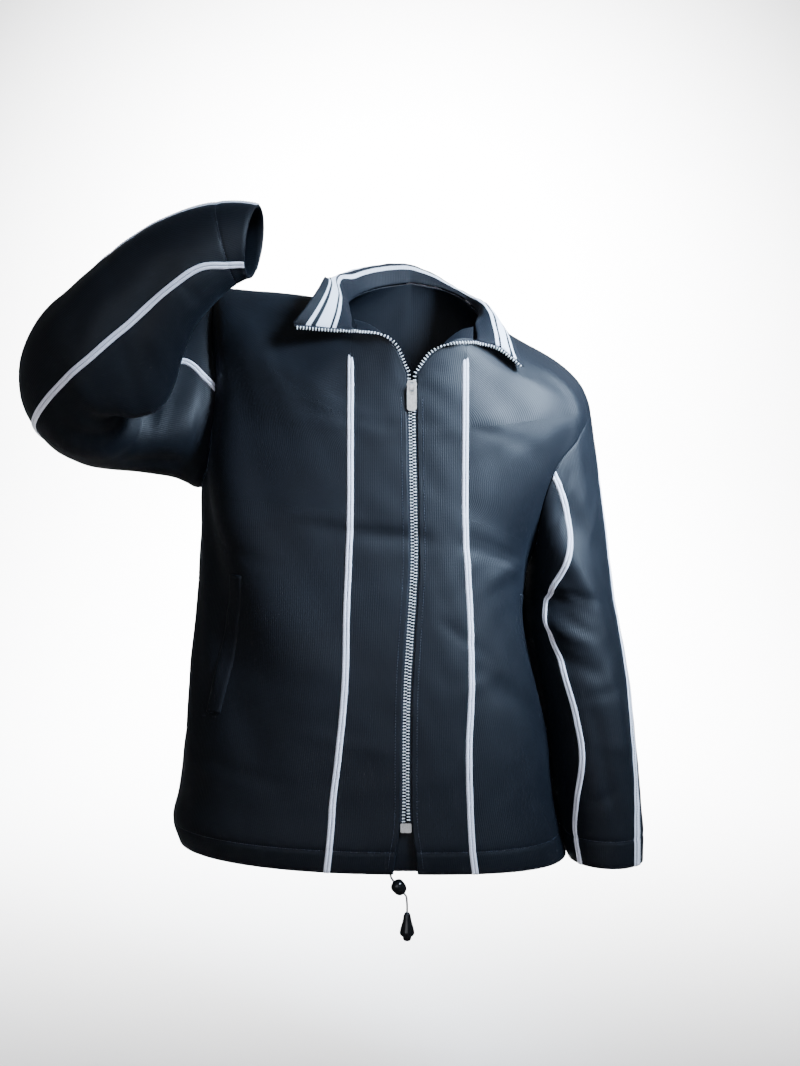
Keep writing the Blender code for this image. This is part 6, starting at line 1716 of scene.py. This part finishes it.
class ClothSettings(PropertyGroup):
    navy: FloatVectorProperty(name="Cloth", description="Colour of the double knit", default=colour("#0b0f16"),
        **TINT)
    rib_pitch: FloatProperty(name="Rib pitch", description="Distance between two drawn ribs of the knit",
        default=0.0024, **LENGTH)
    crease: FloatProperty(name="Small creases", description="Height of the small creases as a share of their own",
        default=1.0, min=0.0, max=2.0, subtype="FACTOR")


class CollarSettings(PropertyGroup):
    navy: FloatVectorProperty(name="Dark stripes", description="Colour of the collar's ground and dark stripes",
        default=colour("#0d1119"), **TINT)
    white: FloatVectorProperty(name="White stripes", description="Colour of the collar's pale stripes",
        default=colour("#e9e9f0"), **TINT)


class TrimSettings(PropertyGroup):
    piping: FloatVectorProperty(name="Piping", description="Colour of the piping", default=colour("#e4e4f0"), **TINT)
    tape: FloatVectorProperty(name="Sleeve tape", description="Colour of the sleeves' tape",
        default=colour("#e2e2ec"), **TINT)
    piping_width: FloatProperty(name="Piping width", description="Width of the piping over both its beads",
        default=0.0072, **LENGTH)
    tape_width: FloatProperty(name="Tape width", description="Width of the sleeves' tape", default=TAPE_WIDTH,
        **LENGTH)


class ZipSettings(PropertyGroup):
    teeth: FloatVectorProperty(name="Teeth", description="Colour of the moulded teeth", default=colour("#e6e7ea"),
        **TINT)
    tape: FloatVectorProperty(name="Zip tape", description="Colour of the zip's woven tape",
        default=colour("#141821"), **TINT)
    metal: FloatVectorProperty(name="Plating", description="Colour of the slider's, tab's and box's plating",
        default=colour("#f1f0ed"), **TINT)
    pitch: FloatProperty(name="Tooth pitch", description="Distance between two teeth of one side",
        default=TOOTH_PITCH, **LENGTH)


class CordSettings(PropertyGroup):
    cord: FloatVectorProperty(name="Cord", description="Colour of the hem's cord", default=colour("#131417"), **TINT)
    plastic: FloatVectorProperty(name="Lock and bell", description="Colour of the cord's lock and bell",
        default=colour("#0d0e10"), **TINT)


class SewingSettings(PropertyGroup):
    thread: FloatVectorProperty(name="Thread", description="Colour of the sewing thread", default=colour("#1d2534"),
        **TINT)
    pitch: FloatProperty(name="Stitch pitch", description="Distance from one stitch to the next", default=0.0031,
        **LENGTH)
    length: FloatProperty(name="Stitch length", description="Length of thread that shows of one stitch",
        default=0.0024, **LENGTH)


class StageSettings(PropertyGroup):
    floor: FloatVectorProperty(name="Backdrop", description="Colour of the backdrop paper", default=colour("#f7f7f8"),
        **TINT)
    distance: FloatProperty(name="Camera distance", description="Distance of the camera from the jacket's middle",
        default=1.3, **LENGTH)
    lens: FloatProperty(name="Lens", description="Focal length of the camera", default=36.574, min=10.0, max=200.0,
        unit="CAMERA")
    key_power: FloatProperty(name="Key lamp", description="Power of the key lamp", default=11.0, **POWER)
    fill_power: FloatProperty(name="Fill lamp", description="Power of the fill lamp", default=15.0, **POWER)
    rim_power: FloatProperty(name="Rim lamp", description="Power of the lamp behind", default=1.5, **POWER)
    backdrop_power: FloatProperty(name="Backdrop lamp", description="Power of the backdrop's lamp", default=680.0,
        **POWER)
    ambient: FloatProperty(name="Room light", description="Strength of the light from all round", default=0.1,
        min=0.0, max=3.0, subtype="FACTOR")


class JacketSettings(PropertyGroup):
    cloth: PointerProperty(type=ClothSettings, name="Cloth", description="Cloth of the panels and sleeves")
    collar: PointerProperty(type=CollarSettings, name="Collar", description="Striped knit of the collar")
    trim: PointerProperty(type=TrimSettings, name="Trims", description="Piping and sleeve tape")
    zip: PointerProperty(type=ZipSettings, name="Zip", description="Zip and its hardware")
    cord: PointerProperty(type=CordSettings, name="Hem cord", description="Hem cord, its lock and its bell")
    sewing: PointerProperty(type=SewingSettings, name="Sewing", description="Rows of stitches")
    stage: PointerProperty(type=StageSettings, name="Stage", description="Camera, lamps and backdrop")


# ======== operators
class JACKET_OT_stage(Operator):
    """Set up the camera, the lamps and the backdrop"""
    bl_idname = "track_jacket.stage"
    bl_label = "Stage"

    def execute(self, context):
        make_stage()
        return {"FINISHED"}


class JACKET_OT_hem_cord(Operator):
    """Make the hem's cord with its lock and its bell"""
    bl_idname = "track_jacket.hem_cord"
    bl_label = "Hem Cord"

    def execute(self, context):
        make_hem_cord()
        return {"FINISHED"}


class JACKET_OT_zip(Operator):
    """Make the zip's tapes and teeth and the guard behind it"""
    bl_idname = "track_jacket.zip"
    bl_label = "Zip"

    def execute(self, context):
        for side in (-1, 1):
            make_zip_tape(side)
            make_zip_teeth(side)
        make_zip_guard()
        return {"FINISHED"}


class JACKET_OT_zip_hardware(Operator):
    """Round and plate the zip's slider, pull tab and box"""
    bl_idname = "track_jacket.zip_hardware"
    bl_label = "Slider, Pull Tab and Box"

    def execute(self, context):
        for name, width in (("zip_slider", 0.00035), ("zip_pull_tab", 0.0004), ("zip_box", 0.0005)):
            finish_hardware(name, width)
        return {"FINISHED"}


class JACKET_OT_piping(Operator):
    """Make the piping of the fronts and the sleeves"""
    bl_idname = "track_jacket.piping"
    bl_label = "Piping"

    def execute(self, context):
        make_piping()
        return {"FINISHED"}


class JACKET_OT_sleeve_tapes(Operator):
    """Make the double-striped tape down each sleeve"""
    bl_idname = "track_jacket.sleeve_tapes"
    bl_label = "Sleeve Tapes"

    def execute(self, context):
        make_sleeve_tapes()
        return {"FINISHED"}


class JACKET_OT_pockets(Operator):
    """Make the welts of the two pockets"""
    bl_idname = "track_jacket.pockets"
    bl_label = "Pocket Welts"

    def execute(self, context):
        make_pockets()
        return {"FINISHED"}


class JACKET_OT_body(Operator):
    """Make the four panels of the fronts and the back"""
    bl_idname = "track_jacket.body"
    bl_label = "Fronts and Back"

    def execute(self, context):
        make_fronts_and_back()
        return {"FINISHED"}


class JACKET_OT_sleeves(Operator):
    """Make both sleeves, each of an upper and an under piece"""
    bl_idname = "track_jacket.sleeves"
    bl_label = "Sleeves"

    def execute(self, context):
        for side in (-1, 1):
            make_sleeve(side)
        return {"FINISHED"}


class JACKET_OT_collar(Operator):
    """Make the folded collar and the facings beside it"""
    bl_idname = "track_jacket.collar"
    bl_label = "Collar and Facings"

    def execute(self, context):
        make_collar()
        for side in (-1, 1):
            make_facing(side)
        return {"FINISHED"}


class JACKET_OT_sewing(Operator):
    """Sew the rows of stitches of the hem, cuffs, fronts and tapes"""
    bl_idname = "track_jacket.sewing"
    bl_label = "Stitches"

    def execute(self, context):
        make_stitching()
        return {"FINISHED"}


STEPS = (JACKET_OT_stage, JACKET_OT_hem_cord, JACKET_OT_zip, JACKET_OT_zip_hardware, JACKET_OT_piping,
    JACKET_OT_sleeve_tapes, JACKET_OT_pockets, JACKET_OT_body, JACKET_OT_sleeves, JACKET_OT_collar,
    JACKET_OT_sewing)


class JACKET_PT_finish(Panel):
    """Pieces and settings of the track jacket"""
    bl_idname = "JACKET_PT_finish"
    bl_label = "Track Jacket"
    bl_space_type = "VIEW_3D"
    bl_region_type = "UI"
    bl_category = "Jacket"

    def draw(self, context):
        column = self.layout.column(align=True)
        for step in STEPS:
            column.operator(step.bl_idname)
        for group in JacketSettings.bl_rna.properties:
            if group.identifier in ("rna_type", "name"):
                continue
            box = self.layout.box()
            box.label(text=group.name)
            values = getattr(context.scene.track_jacket, group.identifier)
            for entry in values.bl_rna.properties:
                if entry.identifier not in ("rna_type", "name"):
                    box.prop(values, entry.identifier)


CLASSES = (ClothSettings, CollarSettings, TrimSettings, ZipSettings, CordSettings, SewingSettings, StageSettings,
    JacketSettings, *STEPS, JACKET_PT_finish)


def register():
    """Register the settings, operators and panel."""
    for item in CLASSES:
        bpy.utils.register_class(item)
    bpy.types.Scene.track_jacket = PointerProperty(type=JacketSettings)


def unregister():
    """Take the settings, operators and panel out again."""
    del bpy.types.Scene.track_jacket
    for item in reversed(CLASSES):
        bpy.utils.unregister_class(item)


def main():
    """Register everything, and make the jacket's finish and its stage."""
    register()
    bpy.ops.track_jacket.stage()
    bpy.ops.track_jacket.hem_cord()
    bpy.ops.track_jacket.zip()
    bpy.ops.track_jacket.zip_hardware()
    bpy.ops.track_jacket.piping()
    bpy.ops.track_jacket.sleeve_tapes()
    bpy.ops.track_jacket.pockets()
    bpy.ops.track_jacket.body()
    bpy.ops.track_jacket.sleeves()
    bpy.ops.track_jacket.collar()
    bpy.ops.track_jacket.sewing()


if __name__ == "__main__":
    main()
